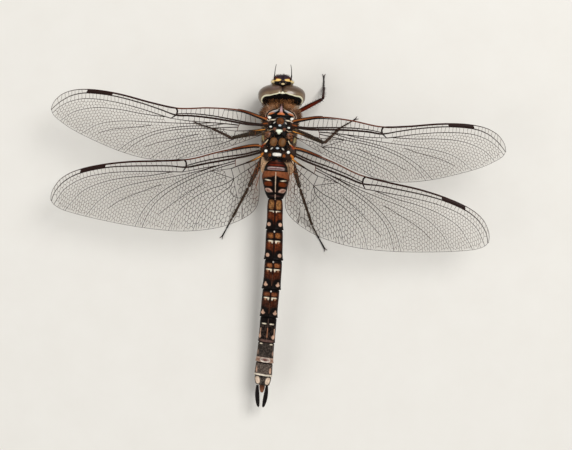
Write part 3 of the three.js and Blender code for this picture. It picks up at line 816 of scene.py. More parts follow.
def surface_net(field, low, high, step):
    """A mesh of the surface where a field is zero, with one point for each crossed cell."""
    axes = [np.arange(a, b + step, step) for a, b in zip(low, high)]
    values = np.array(field(np.meshgrid(*axes, indexing="ij", sparse=True)))
    inside = values < 0
    shape = np.array(values.shape) - 1
    corners = [(i, j, k) for i in (0, 1) for j in (0, 1) for k in (0, 1)]
    blocks = [inside[i : i + shape[0], j : j + shape[1], k : k + shape[2]] for i, j, k in corners]
    cells = np.argwhere(np.logical_or.reduce(blocks) & ~np.logical_and.reduce(blocks))
    index = np.full(shape, -1)
    index[tuple(cells.T)] = np.arange(len(cells))
    points = np.array(low) + step * crossing_points(values, cells, corners)

    # A quad stands across each grid edge that crosses the surface.
    faces = []
    for axis in range(3):
        b, c = (axis + 1) % 3, (axis + 2) % 3
        first = np.delete(inside, -1, axis)
        spots = np.argwhere(first != np.delete(inside, 0, axis))
        whole = (spots[:, b] > 0) & (spots[:, c] > 0) & (spots[:, b] < shape[b]) & (spots[:, c] < shape[c])
        spots = spots[whole]
        back_b, back_c = np.eye(3, dtype=int)[[b, c]]
        around = [spots - back_b - back_c, spots - back_c, spots, spots - back_b]
        quads = np.stack([index[tuple(cell.T)] for cell in around], 1)
        outward = first[tuple(spots.T)]
        quads[~outward] = quads[~outward][:, ::-1]
        faces.append(quads)
    faces = np.concatenate(faces)
    return settle(points, faces, field), faces


def settle(points, faces, field):
    """Even out a net, then bring its points back onto the surface."""
    ends = np.concatenate([faces[:, [k, (k + 1) % 4]] for k in range(4)])
    nudges = NUDGE * np.eye(3)
    for _ in range(2):
        total = np.zeros_like(points)
        count = np.zeros(len(points))
        np.add.at(total, ends[:, 0], points[ends[:, 1]])
        np.add.at(count, ends[:, 0], 1)
        points = 0.4 * points + 0.6 * total / count[:, None]
        slope = [field((points + nudge).T) - field((points - nudge).T) for nudge in nudges]
        slope = np.stack(slope, 1) / (2 * NUDGE)
        steep = np.maximum((slope**2).sum(1), 0.05)
        shift = field(points.T)[:, None] * slope / steep[:, None]
        points = points - np.clip(shift, -FARTHEST_SHIFT, FARTHEST_SHIFT)
    return points


# ---------------------------------------------------------------- painting

BLACK = (22, 18, 16)
CREAM = (232, 220, 198)
WHITE_SPOT = (238, 238, 230)
BLUISH = (196, 206, 212)


def colour_of(tone):
    """The colour of a tone on screen; a colour that is already linear is left alone."""
    return linear(*tone) if isinstance(tone, tuple) else tone


class Paint:
    """Colours of points, marked in a flat chart: across and along, in millimetres."""

    def __init__(self, across, along, base):
        self.across = across
        self.along = along
        self.within = 1.0  # where marks may be laid, from 0 to 1 for each point
        self.colours = np.broadcast_to(colour_of(base), (len(across), 3))

    def lay(self, tone, mask=1.0):
        """Cover the colours with a tone as far as the mask says."""
        mask = np.broadcast_to(np.clip(mask, 0, 1) * self.within, self.across.shape)[:, None]
        self.colours = self.colours * (1 - mask) + colour_of(tone) * mask

    def spot(self, tone, centre, halves, turn=0.0, soft=0.06, power=2.0, both=False, strength=1.0):
        """An oval by its half sizes, turned by degrees: squarer as the power rises above 2."""
        across = np.abs(self.across) if both else self.across
        du, dv = across - centre[0], self.along - centre[1]
        c, s = math.cos(math.radians(turn)), math.sin(math.radians(turn))
        a, b = np.abs(du * c + dv * s) / halves[0], np.abs(dv * c - du * s) / halves[1]
        reach = (a**power + b**power) ** (1 / power)
        edge = soft / min(halves)
        self.lay(tone, strength * smoothstep(1 + edge, 1 - edge, reach))

    def pair(self, *mark, **looks):
        """The same spot on both sides of the middle line."""
        self.spot(*mark, both=True, **looks)

    def line(self, tone, points, half, soft=0.05, both=False, strength=1.0):
        """A line through points, by its half width."""
        across = np.abs(self.across) if both else self.across
        gap = path_distance(across, self.along, points)
        self.lay(tone, strength * smoothstep(half + soft, half - soft, gap))

    def lines(self, *mark, **looks):
        """The same line on both sides of the middle line."""
        self.line(*mark, both=True, **looks)

    def band(self, tone, start, stop, soft=0.06, strength=1.0):
        """A band all the way across, from one place along to another."""
        inside = smoothstep(start - soft, start + soft, self.along)
        self.lay(tone, strength * inside * smoothstep(stop + soft, stop - soft, self.along))

    def speckle(self, tone, start, stop, strength, size=0.17):
        """Fine freckles over a band: smooth noise between the points of a random lattice."""
        lattice = np.random.default_rng(4).random((64, 64))
        a, b = self.across / size, self.along / size
        i, j = np.floor(a).astype(int), np.floor(b).astype(int)
        s, t = smoothstep(0, 1, a - i), smoothstep(0, 1, b - j)
        near = lattice[i % 64, j % 64] * (1 - s) + lattice[(i + 1) % 64, j % 64] * s
        far = lattice[i % 64, (j + 1) % 64] * (1 - s) + lattice[(i + 1) % 64, (j + 1) % 64] * s
        self.band(tone, start, stop, 0.1, strength * smoothstep(0.4, 0.75, near * (1 - t) + far * t))


# ---------------------------------------------------------------- thorax

THORAX_POWER = 2.3
# Sections from front to back: y, half width, top, bottom.
THORAX_SECTIONS = np.array(
    [
        (-7.6, 1.9, 9.2, 5.2),
        (-7.15, 3.0, 10.1, 4.4),
        (-6.4, 3.8, 11.1, 3.7),
        (-5.3, 3.95, 11.8, 3.4),
        (-3.8, 3.75, 12.1, 3.3),
        (-1.6, 3.55, 12.1, 3.4),
        (0.8, 3.45, 12.0, 3.7),
        (3.0, 3.4, 11.6, 4.0),
        (5.6, 3.5, 10.8, 4.5),
        (8.0, 3.1, 9.6, 5.2),
    ]
)
THORAX_REAR = [(3.1, 11.6), (7.6, 4.8)]  # y and z of the sloping rear face
# The neck, the leg sockets and the wing shoulders: centre, half sizes, power, blend.
THORAX_BULGES = [
    ((0, -7.75, 7.3), (1.75, 0.95, 1.75), 2.2, 0.35),
    ((0, -8.3, 8.6), (1.2, 0.5, 0.75), 2.2, 0.2),
    *[((1.35, leg, 4.5), (0.95, 1.05, 0.95), 2.0, 0.3) for leg in (-5.7, -2.9, 0.3)],
    ((2.75, -4.1, 11.25), (1.0, 1.15, 0.4), 2.4, 0.35),
    ((2.85, 1.9, 10.6), (0.95, 1.35, 0.42), 2.4, 0.35),
]
# The plates on the back.
BACK_PLATES = [
    ((0, -4.35, 11.75), (0.8, 0.78, 0.5), 2.0, 0.06),
    ((0, -2.2, 12.0), (0.7, 0.52, 0.4), 2.6, 0.08),
    ((0.88, 0.0, 11.75), (0.84, 0.98, 0.46), 2.3, 0.03),
    ((0, 2.6, 11.5), (0.98, 0.46, 0.42), 3.0, 0.08),
    ((2.35, -5.05, 11.25), (0.4, 0.3, 0.2), 2.0, 0.1),
    ((1.85, -3.12, 11.6), (0.32, 0.25, 0.18), 2.0, 0.1),
    ((2.35, 1.95, 11.0), (0.4, 0.42, 0.22), 2.0, 0.1),
    ((1.0, -2.75, 11.95), (0.45, 0.4, 0.25), 2.0, 0.1),
]
COLLAR = [
    (0.06, -8.3), (0.42, -7.5), (1.0, -7.0), (1.85, -6.68), (2.6, -6.25), (2.98, -5.65), (2.97, -5.0),
    (2.45, -4.55),
]
REAR_GROOVE = [(0, 1.75), (1.1, 2.05), (2.3, 1.3)]
BACK_ARCH = [(0, -1.35), (0.9, -1.2), (1.7, -0.7), (1.95, 0.2), (1.7, 0.95)]
# The middle line of the back: places along it, and how far left it lies there.
SHELL_CENTRES = ([-8.5, -5.5, -2.2, 0.0, 2.6, 8.0], [-0.03, -0.1, 0.06, 0.18, 0.2, 0.2])
# Seams and pale stripes of the flank, slanting down and forwards, as (y, z).
SEAMS = [
    [(-4.6, 10.8), (-5.6, 8.0), (-5.0, 4.4)],
    [(-1.7, 10.7), (-2.6, 7.6), (-3.6, 4.4)],
    [(1.0, 10.3), (-0.2, 7.2), (-1.2, 4.4)],
]
FLANK_STRIPES = [
    ([(-3.3, 10.6), (-4.1, 8.0), (-4.5, 5.6)], 0.5),
    ([(-0.5, 10.3), (-1.4, 7.6), (-2.2, 5.4)], 0.55),
]
HAIR_BROWN = (156, 108, 76)
SIDE_BEIGE = (246, 210, 172)


def thorax_across(x, y):
    """Distance to the left of the back's own middle line, which wavers a little."""
    return x - np.interp(y, *SHELL_CENTRES)


def back_slope(y, z, top, bottom):
    """Distance behind a plane that slopes down and back between two points (y, z)."""
    dy, dz = bottom[0] - top[0], bottom[1] - top[1]
    return ((y - top[0]) * -dz + (z - top[1]) * dy) / math.hypot(dy, dz)


def inside_path(across, along, points):
    """True between the path and the middle line, behind its first point."""
    us, vs = np.array(points).T
    return (np.abs(across) < np.interp(along, vs[:-1], us[:-1])) & (along > vs[0]) & (along < vs[-1])


def thorax_field(p):
    x, y, z = p
    half, top, bottom = (np.interp(y, THORAX_SECTIONS[:, 0], column) for column in THORAX_SECTIONS.T[1:])
    middle, tall = (top + bottom) / 2, (top - bottom) / 2
    ring = (np.abs(x) / half) ** THORAX_POWER + (np.abs(z - middle) / tall) ** THORAX_POWER
    body = (ring ** (1 / THORAX_POWER) - 1) * np.minimum(half, tall)
    body = cut(body, -7.75 - y, 0.7)
    body = cut(body, back_slope(y, z, *THORAX_REAR), 0.35)
    body = join_twins(body, p, THORAX_BULGES)

    # Round the collar, a ridge up the middle of the front, three seams across the back, and one
    # along each side of the domes.
    u = thorax_across(x, y)
    wide = np.abs(u)
    groove = 0.13 * bell(path_distance(wide, y, COLLAR), 0.13)
    groove = groove - 0.22 * bell(u, 0.3) * smoothstep(-8.4, -7.6, y) * smoothstep(-5.6, -5.9, y)
    groove = groove + 0.3 * bell(y + 5.3, 0.25) * (wide < 2.2)
    groove = groove + 0.25 * bell(y + 1.3 - 0.32 * u * u, 0.22) * (wide < 2.4)
    groove = groove + 0.22 * bell(path_distance(wide, y, REAR_GROOVE), 0.2)
    groove = groove + 0.2 * bell(wide - 1.75, 0.2) * smoothstep(-4.6, -4.0, y) * smoothstep(3.2, 2.6, y)
    dorsal = smoothstep(9.6, 10.6, z)
    body = join_twins(body + groove * dorsal, (u, y, z), BACK_PLATES)
    flank = smoothstep(1.6, 2.4, np.abs(x)) * (1 - dorsal)
    for seam in SEAMS:
        body = body + 0.09 * flank * bell(path_distance(y, z, seam), 0.1)
    return body


def flank_colours(y, z):
    flank = Paint(y, z, (98, 72, 52))
    flank.lay((84, 60, 44), smoothstep(5.5, 4.0, z))
    for path, half in FLANK_STRIPES:
        flank.line((40, 28, 22), path, half + 0.16, 0.1)
        flank.line((205, 190, 140), path, half, 0.12)
    for seam in SEAMS:
        flank.line((46, 32, 24), seam, 0.1, 0.06)
    flank.spot((30, 22, 18), (-1.7, 7.3), (0.28, 0.45), turn=15)
    flank.within = smoothstep(2.6, 3.6, y)
    flank.lay(SIDE_BEIGE)
    return flank.colours


def mark_wing_roots(back):
    back.lay((62, 45, 34))
    back.spot(BLACK, (0, -1.3), (2.6, 3.2), soft=0.4, power=3)
    back.pair((138, 100, 76), (2.3, -1.45), (0.55, 0.65), turn=-20, soft=0.2)
    back.lines((176, 122, 78), [(1.75, -1.9), (2.3, -2.05), (3.0, -1.8)], 0.07, 0.04)
    back.lines(BLACK, [(1.7, -2.2), (2.2, -1.5), (2.9, -1.1)], 0.1)
    back.pair((158, 128, 118), (2.0, -1.7), (0.24, 0.2), turn=30, soft=0.1, strength=0.8)
    back.pair((138, 88, 50), (2.75, -0.9), (0.3, 0.5), soft=0.12)
    back.lines(BLACK, [(2.2, -0.6), (2.75, -1.05), (3.2, -0.9)], 0.09)
    back.lines((196, 176, 150), [(1.5, -2.55), (1.95, -2.35), (2.5, -2.4)], 0.06, 0.04)
    back.pair((126, 88, 70), (1.0, -2.7), (0.36, 0.36))
    back.pair((150, 90, 45), (1.5, 2.75), (0.3, 0.35), soft=0.1)


def mark_collar(back):
    back.lay(BLACK, inside_path(back.across, back.along, COLLAR))
    back.lines((226, 206, 188), COLLAR, 0.3, 0.05, strength=0.85)
    back.lines(BLACK, COLLAR, 0.15)
    back.pair((212, 208, 202), (1.42, -6.42), (0.86, 0.2), turn=24)
    back.pair((150, 160, 170), (1.38, -6.36), (0.66, 0.1), turn=24)
    back.pair((192, 122, 78), (2.05, -5.92), (0.7, 0.16), turn=18)
    back.pair((192, 122, 78), (1.95, -6.2), (0.5, 0.06), turn=24, strength=0.7)


def mark_stripe(back):
    """The mauve stripe up the middle of the front, orange at its foot."""
    y = back.along
    half = np.interp(y, [-8.5, -7.6, -6.3, -5.9], [0.02, 0.2, 0.32, 0.8])
    on_stripe = (y > -8.5) * smoothstep(-5.68, -5.8, y)
    back.spot(BLACK, (0, -8.5), (0.24, 0.5))
    beyond = np.abs(back.across) - half
    back.lay(BLACK, on_stripe * smoothstep(0.16, 0.1, beyond))
    warm = smoothstep(-6.7, -6.0, y)[:, None]
    tones = linear(206, 176, 178) * (1 - warm) + linear(202, 128, 84) * warm
    back.lay(tones, on_stripe * smoothstep(0.04, -0.06, beyond))
    back.lines((120, 108, 104), [(0, -5.22), (0.8, -5.05), (1.25, -4.75)], 0.06, 0.04)


def mark_plates(back):
    back.pair(WHITE_SPOT, (2.35, -5.05), (0.35, 0.24), turn=-8)
    back.pair(CREAM, (1.6, -4.58), (0.55, 0.1), turn=6)
    back.spot(BLACK, (0, -4.35), (0.9, 0.86))
    back.spot((118, 74, 40), (0, -4.35), (0.76, 0.72), soft=0.08)
    back.spot((92, 64, 40), (0.12, -4.2), (0.4, 0.4), soft=0.2, strength=0.6)
    back.pair((205, 200, 190), (1.2, -4.0), (0.26, 0.09), turn=40)
    back.spot(BLUISH, (0, -3.48), (0.3, 0.2))
    back.pair(WHITE_SPOT, (1.88, -3.12), (0.27, 0.18))
    back.spot((228, 232, 214), (0, -2.35), (0.68, 0.3), power=2.8)
    back.spot((228, 232, 214), (0, -1.98), (0.36, 0.36))
    back.pair(BLACK, (0.88, 0.0), (0.98, 1.12))
    back.pair((124, 86, 50), (0.9, 0.0), (0.76, 0.9), soft=0.08, power=2.3)
    # Painted highlight: a soft paler, greyer spot on each dome.
    back.pair((134, 108, 80), (1.0, 0.0), (0.36, 0.6), soft=0.2, strength=0.7)
    back.line(BLACK, [(0, -1.1), (0, 1.0)], 0.09)
    back.spot(BLUISH, (0, 1.28), (0.34, 0.2), power=1.6)
    back.pair((214, 208, 196), (1.2, 1.4), (0.32, 0.12), turn=38)
    back.pair(BLACK, (2.35, 1.95), (0.55, 0.5))
    back.pair(WHITE_SPOT, (2.35, 1.95), (0.31, 0.3))
    bar = [(2.15, -0.35), (2.5, 0.15), (3.0, 0.62)]
    back.lines(BLACK, bar, 0.28)
    back.lines((222, 205, 176), bar, 0.1)
    back.lines((196, 116, 52), [(2.6, 0.4), (3.5, 0.85)], 0.1)
    back.spot(BLACK, (0, 2.6), (1.12, 0.6), power=3)
    back.spot((232, 228, 218), (0, 2.6), (0.92, 0.36), power=3.5)
    back.spot(BLACK, (0, 3.4), (1.9, 0.4), soft=0.2)


def mark_shoulders(back):
    back.pair((142, 58, 28), (3.3, -4.85), (0.6, 0.3), turn=10)
    back.pair((150, 88, 44), (3.1, -3.7), (0.7, 0.12), turn=10)
    back.pair((132, 52, 26), (3.4, 1.0), (0.5, 0.34), turn=20)
    back.pair((200, 130, 60), (3.3, 2.9), (0.7, 0.24), turn=48)


def thorax_paint(points):
    x, y, z = points.T
    back = Paint(thorax_across(x, y), y, flank_colours(y, z))
    front = smoothstep(-4.3, -5.6, y)
    back.lay(HAIR_BROWN, front * smoothstep(6.4, 8.4, z))
    # Painted shade: the outer sides of the front are laid darker, where they turn away from the light.
    back.lay((92, 66, 48), front * smoothstep(2.7, 3.5, np.abs(x)) * 0.8)
    back.pair((168, 112, 74), (1.5, -7.3), (1.2, 0.45), turn=20, soft=0.25, strength=0.7)
    back.lay((58, 42, 32), smoothstep(-7.7, -8.2, y))
    back.within = smoothstep(9.5, 10.5, z) * smoothstep(-6.2, -5.2, y)
    mark_wing_roots(back)
    back.within = smoothstep(9.6, 10.4, z)
    back.lines(BLACK, BACK_ARCH, 0.16)
    back.within = smoothstep(8.6, 9.6, z)
    mark_collar(back)
    back.within = smoothstep(7.6, 8.4, z)
    mark_stripe(back)
    back.within = smoothstep(9.6, 10.4, z)
    mark_plates(back)
    back.within = smoothstep(2.3, 2.7, np.abs(x)) * smoothstep(9.4, 10.0, z)
    mark_shoulders(back)
    return back.colours


# ---------------------------------------------------------------- head and eyes

EYES_CENTRE = (0, -9.95, 8.35)
EYES_WIDE = 4.98
EYES_TALL = 3.35
EYES_AHEAD = 2.5
EYES_BEHIND = 2.85
EYES_POWER = 2.3
SEAM_HALF = 0.03
HEAD_REAR = -7.95
HEAD_SLOPE = [(-10.4, 11.5), (-8.05, 8.9)]  # y and z of the sloping back of the head
# The solids that are joined to the capsule between the eyes: centre, half sizes, power, tone.
HEAD_PARTS = {
    "vertex": ((0, -12.3, 10.75), (0.8, 0.45, 0.62), 2.2, (28, 22, 20)),
    "frons": ((0, -12.86, 9.5), (1.92, 1.4, 1.3), 2.5, (184, 158, 108)),
    "temple": ((2.06, -12.7, 9.9), (0.38, 0.32, 0.55), 2.0, (216, 200, 160)),
    "clypeus": ((0, -12.2, 7.9), (2.15, 1.45, 1.55), 2.4, (168, 142, 98)),
    "labrum": ((0, -11.75, 6.25), (2.0, 1.4, 1.3), 2.3, (202, 172, 108)),
    "mandible": ((1.75, -10.9, 6.0), (1.05, 1.4, 1.15), 2.2, (186, 152, 98)),
    "labium": ((0, -10.4, 4.95), (2.1, 1.9, 0.85), 2.4, (136, 104, 70)),
    "cheek": ((0, -10.7, 7.4), (2.9, 1.95, 2.6), 2.2, (96, 74, 54)),
}
CAPSULE_TONE = (15, 12, 11)
RIM_CREAM = (238, 233, 204)
# Dark spots in the eyes: place and size.
EYE_SPOTS = [
    (3.9, -11.25, 7.6, 0.34), (4.2, -11.0, 6.9, 0.22), (3.45, -11.55, 7.0, 0.2), (4.45, -10.6, 7.8, 0.2),
]
# Bands across the eyes.
UPPER_BAND = [(0.1, -11.95), (1.5, -12.0), (3.1, -11.3), (4.3, -10.2)]
LOWER_BAND = [(0.1, -11.05), (1.7, -11.0), (3.1, -10.75), (4.2, -10.0)]
# Grooves across the face: z, and how far each sags.
FACE_GROOVES = ((8.72, 0.12), (7.15, 0.1), (6.75, 0.06))


def eyes_ball(p):
    """Both eyes as one helmet, deeper behind its middle than ahead of it, grooved along the top."""
    x, y, z = p
    deep = np.where(y < EYES_CENTRE[1], EYES_AHEAD, EYES_BEHIND)
    reach = sum(
        (np.abs(a - c) / half) ** EYES_POWER
        for a, c, half in zip(p, EYES_CENTRE, (EYES_WIDE, deep, EYES_TALL))
    )
    return (reach ** (1 / EYES_POWER) - 1) * EYES_AHEAD + 0.3 * bell(x, 0.4) * smoothstep(9.0, 10.5, z)


def behind_head(p):
    """Distance into the black hollow at the back of the head, positive inside it."""
    x, y, z = p
    wide = np.abs(x)
    ahead = 0.17 + 0.23 * smoothstep(0.3, 1.5, wide) + 0.03 * wide - 0.5 * smoothstep(2.4, 4.2, wide)
    slope = join(back_slope(y - ahead, z, *HEAD_SLOPE), 4.42 - wide, 0.32)
    return np.maximum(slope, y - HEAD_REAR)


def eye_field(p):
    """The left eye."""
    return cut(cut(eyes_ball(p), behind_head(p), 0.08), SEAM_HALF - p[0], 0.04)


def capsule(p):
    """The surface that the eyes stand on."""
    return eyes_ball(p) + 0.13


def head_field(p):
    x, y, z = p
    head = cut(cut(capsule(p), behind_head(p) - 0.03, 0.05), -10.6 - y, 0.05)
    head = join(head, ball(p, (0, -10.3, 11.2), (0.5, 0.34, 0.34), 2.4), 0.05)
    for centre, halves, power, _ in HEAD_PARTS.values():
        head = join(head, twin(p, centre, halves, power), 0.16)
    front = smoothstep(-11.4, -12.2, y)
    for level, sag in FACE_GROOVES:
        head = head + 0.1 * front * bell(z - level - 0.3 * sag * x * x, 0.09)
    return head + 0.08 * bell(x, 0.12) * smoothstep(9.3, 10.3, z) * front


def head_paint(points):
    x, y, z = points.T
    p = (x, y, z)
    gaps = [capsule(p)] + [twin(p, *part[:3]) for part in HEAD_PARTS.values()]
    tones = [CAPSULE_TONE] + [part[3] for part in HEAD_PARTS.values()]
    nearest = np.argmin(gaps, axis=0)
    face = Paint(x, z, np.array([linear(*tone) for tone in tones])[nearest])
    face.within = smoothstep(-11.2, -12.0, y)
    for level, _ in FACE_GROOVES:
        face.line((60, 42, 30), [(-2.2, level), (2.2, level)], 0.09, 0.07)
    face.pair((84, 58, 38), (1.45, 7.95), (0.3, 0.42), soft=0.15)
    face.spot((70, 46, 30), (0, 5.15), (1.7, 0.3), soft=0.2)
    face.spot((92, 64, 42), (0, 6.05), (0.16, 0.5), soft=0.12)
    face.spot((84, 60, 44), (0, 9.2), (1.3, 0.22), soft=0.2, strength=0.6)

    top = Paint(x, y, face.colours)
    top.within = smoothstep(9.5, 9.95, z)
    is_temple = nearest == 1 + list(HEAD_PARTS).index("temple")
    top.lay((66, 52, 60), (y < -12.2) & ~is_temple)
    top.pair((124, 50, 26), (1.45, -13.42), (0.42, 0.2), soft=0.12, strength=0.8)
    top.pair((244, 208, 136), (1.17, -13.05), (0.8, 0.26), turn=3)
    top.line((52, 40, 46), [(0, -14.2), (0, -12.8)], 0.28, 0.08)
    top.within = smoothstep(9.9, 10.35, z) * smoothstep(-12.86, -12.72, y) * ~is_temple
    top.lay((26, 21, 20))
    top.spot((226, 206, 164), (0, -12.2), (0.4, 0.2), power=1.4)
    top.within = (z > 10.8) * smoothstep(-11.3, -11.0, y)
    top.lay((236, 231, 208), (np.abs(x) < 0.06 + 0.9 * (y + 10.68)) * smoothstep(-10.1, -10.16, y))
    return top.colours


def eye_paint(points):
    x, y, z = points.T
    eye = Paint(x, y, (101, 79, 61))
    height = smoothstep(7.0, 10.2, z)
    eye.lay((126, 116, 90), 1 - height)
    eye.lay((112, 96, 78), smoothstep(1.0, 0.0, np.abs(z - 8.9)) * 0.55)
    for spot_x, spot_y, spot_z, size in EYE_SPOTS:
        gap = np.sqrt((np.abs(x) - spot_x) ** 2 + (y - spot_y) ** 2 + (z - spot_z) ** 2)
        eye.lay((70, 58, 46), smoothstep(size * 1.3, size * 0.6, gap) * 0.75)
    eye.lay((104, 84, 62), smoothstep(3.6, 4.8, np.abs(x)) * height * 0.7)
    eye.spot((118, 96, 88), (1.5, -11.45), (1.3, 0.36), turn=14, soft=0.3, strength=0.9)
    eye.line((98, 78, 68), UPPER_BAND, 0.16, 0.16, strength=0.7)
    eye.line((104, 84, 72), LOWER_BAND, 0.12, 0.14, strength=0.5)
    eye.lay((84, 64, 54), smoothstep(0.32, 0.1, np.abs(x)) * smoothstep(9.5, 10.5, z))
    p = (x, y, z)
    behind = behind_head(p)
    width = np.interp(np.abs(x), [0, 2.5, 4.2], [0.08, 0.06, 0.09])
    warm = smoothstep(-1.0, -0.3, behind) * smoothstep(6.5, 8.5, z)
    eye.lay((160, 138, 108), warm * 0.5)
    eye.lay(RIM_CREAM, smoothstep(-width - 0.03, -width + 0.01, behind) * smoothstep(-8.15, -8.4, y))
    eye.lay(BLACK, (eyes_ball(p) < -0.09) * (behind > -0.1))
    return eye.colours


# ---------------------------------------------------------------- abdomen and tail

# Segments from front to back: from, to, then half widths and half heights, evenly spaced.
SEGMENTS = [
    (2.6, 6.0, [1.9, 2.2, 2.55], [2.2, 2.45, 2.6]),
    (6.0, 11.8, [2.6, 2.9, 2.72, 2.42, 2.15, 1.5], [2.6, 2.65, 2.35, 2.0, 1.7, 1.4]),
    (11.8, 18.3, [1.5, 1.66, 1.67, 1.7, 1.9], [1.35, 1.4, 1.4, 1.4, 1.5]),
    (18.3, 24.7, [1.74, 1.82, 1.84, 1.88, 2.05], [1.45, 1.48, 1.48, 1.5, 1.6]),
    (24.7, 30.92, [1.82, 1.86, 1.86, 1.9, 2.05], [1.5, 1.5, 1.5, 1.52, 1.6]),
    (30.92, 36.85, [1.78, 1.8, 1.8, 1.8, 1.92], [1.48, 1.48, 1.48, 1.48, 1.55]),
    (36.85, 42.2, [1.74, 1.74, 1.75, 1.8], [1.45, 1.45, 1.45, 1.5]),
    (42.2, 46.52, [1.72, 1.74, 1.8, 1.92], [1.42, 1.42, 1.42, 1.48]),
    (46.52, 49.45, [1.78, 1.84, 1.92], [1.36, 1.36, 1.38]),
    (49.45, 51.36, [1.8, 1.7, 1.4], [1.25, 1.2, 1.0]),
]
ABDOMEN_SIDES = 112
ABDOMEN_STEP = 0.085
ABDOMEN_POWER = 2.15
# The abdomen bends slightly to the right and back: y, x.
spine_x = outline(
    [
        (2, 0.2), (5, 0.19), (8, 0.12), (13, -0.12), (18.5, -0.36), (24.5, -0.56), (28, -0.6),
        (33.8, -0.42), (40, -0.32), (44, -0.2), (47, -0.12), (51, 0.0), (56, 0.08),
    ]
)
# How far the rings turn about the upright, as y against the slope of each ring.
tail_slant = outline([(0, 0), (30, -0.02), (36, -0.04), (42, -0.07), (48, -0.09), (60, -0.09)])

RED_BROWN = (100, 50, 26)
RUST = (150, 86, 46)
PANEL_EDGE = (92, 52, 32)
ABDOMEN_BLACK = (29, 23, 21)
PINKISH = (206, 172, 150)
CHARCOAL = (64, 57, 52)
RING_MAUVE = (168, 152, 142)
# Segments 3 to 7. Measured back from the front edge: where the panel starts and stops, the cream
# bar, the black ring and the rear spot. Then how red it is, how far out the bar reaches, and the
# panel's tone.
MIDDLE_SEGMENTS = {
    3: (0.3, 2.2, 2.62, 2.4, 5.35, 1.0, 1.1, (168, 124, 80)),
    4: (0.68, 1.75, 2.35, 2.02, 5.35, 0.95, 1.22, (164, 112, 68)),
    5: (0.68, 1.55, 1.95, 1.68, 5.1, 0.75, 1.38, (170, 114, 74)),
    6: (0.6, 1.4, 1.75, 1.53, 4.85, 0.55, 1.3, (138, 90, 62)),
    7: (0.45, 0.72, 1.35, 0.95, 4.15, 0.0, 1.22, None),
}


def spine_z(y):
    return 8.3 - 0.08 * (np.asarray(y, float) - 6)


def abdomen_rings():
    """For each ring along the abdomen: y, half width and half height."""
    rows = []
    for start, stop, widths, heights in SEGMENTS:
        t = np.linspace(0, 1, int((stop - start) / ABDOMEN_STEP), endpoint=False)
        from_front, from_rear = t * (stop - start), (1 - t) * (stop - start)
        tuck = 0.16 * bell(from_front, 0.14) + 0.1 * bell(from_rear, 0.07)
        swell = 0.05 * bell(from_rear - 0.22, 0.14) - tuck
        sizes = [evenly(halves)(t) + swell for halves in (widths, heights)]
        rows.append(np.stack([start + from_front, *sizes], 1))
    _, stop, widths, heights = SEGMENTS[-1]
    rows.append([(stop, widths[-1] * 0.75, heights[-1] * 0.75)])
    return np.concatenate(rows)


def mark_middle_segment(skin, number):
    """The repeated pattern of segments 3 to 7, measured from each segment's front edge."""
    start, stop = SEGMENTS[number - 1][:2]
    near, far, bar, ring, spot, red, outer, panel = MIDDLE_SEGMENTS[number]
    bar, ring, spot = start + bar, start + ring, start + spot
    last = number == 7

    skin.spot(RED_BROWN, (0, bar + 1.0), (1.75, 1.05), soft=0.3, power=3, strength=red)
    skin.spot(RED_BROWN, (0, bar + 2.0), (0.3, 0.8), soft=0.2, strength=red * 0.8)
    skin.pair(RUST, (0.95, bar + 0.9), (0.3, 0.5), soft=0.25, strength=0.6 * red**3)
    skin.pair(RUST, (0.35, bar + 1.5), (0.14, 0.6), soft=0.15, strength=0.5 * red**3)
    if not last:
        middle, half = start + (near + far) / 2, (far - near) / 2
        skin.pair(PANEL_EDGE, (0.82, middle), (0.8, half + 0.06), soft=0.12, power=4)
        skin.pair(panel, (0.74, middle), (0.5, half - 0.02), soft=0.14, power=3)
    skin.speckle((36, 23, 17), start + 0.3, stop - 0.2, 0.5)
    skin.speckle((104, 88, 78), bar + 0.3, stop - 0.4, 0.45 * (1 - red), size=0.23)
    skin.band(BLACK, ring - 0.09, ring + 0.09, 0.04)
    top = bar - 0.12
    inner = 0.36 if last else 0.2
    deep = 0.075 if number == 3 else 0.13
    skin.pair(CREAM, ((inner + outer) / 2, top + deep), ((outer - inner) / 2, deep), soft=0.05, power=4)
    if number == 3:
        skin.pair(CREAM, (inner + 0.12, top + 0.22), (0.1, 0.2), soft=0.05, power=1.5)
    elif not last:
        skin.pair(CREAM, (inner + 0.2, top + 0.34), (0.16, 0.3), soft=0.07, power=1.5)
        skin.pair((196, 150, 116), (outer - 0.3, top + 0.42), (0.2, 0.24), soft=0.08, strength=0.6)
    skin.line(BLACK, [(0, start + near), (0, stop - 0.3)], 0.12, strength=0.9)
    if number > 4:
        skin.line((120, 84, 66), [(0, bar + 1.1), (0, stop - 0.9)], 0.06, 0.04, strength=0.8)
    if last:
        skin.line((112, 92, 82), [(0, start + 0.3), (0, start + 4.6)], 0.06)
        skin.line((190, 138, 108), [(0, start + 2.3), (0, start + 4.2)], 0.08)
        skin.lines(PINKISH, [(1.42, start + 2.4), (1.46, start + 4.1)], 0.1, 0.06)
        skin.spot(PINKISH, (1.5, start + 4.1), (0.26, 0.42), soft=0.08, power=1.6)
        skin.spot(PINKISH, (-1.28, start + 4.1), (0.34, 0.44), soft=0.08, power=1.6)
        # Painted highlight: a paler mauve band across the rear flange of segment 7.
        skin.spot((124, 98, 90), (0, stop - 0.36), (1.45, 0.3), soft=0.12, strength=0.8, power=2.6)
        return
    if number > 3:
        skin.spot((226, 216, 204), (0, start + 0.36), (0.13, 0.18), soft=0.05)
    skin.pair(ABDOMEN_BLACK, (1.05, spot - 0.15), (0.72, 0.92), soft=0.15)
    if number < 5:
        skin.pair(PINKISH, (1.17 if number == 3 else 1.25, spot), (0.37, 0.4), soft=0.07)
    else:
        skin.pair(PINKISH, (1.25, spot + 0.12), (0.42, 0.34), soft=0.07, power=1.4)
        skin.pair(PINKISH, (1.3, spot - 0.16), (0.18, 0.36), soft=0.07)


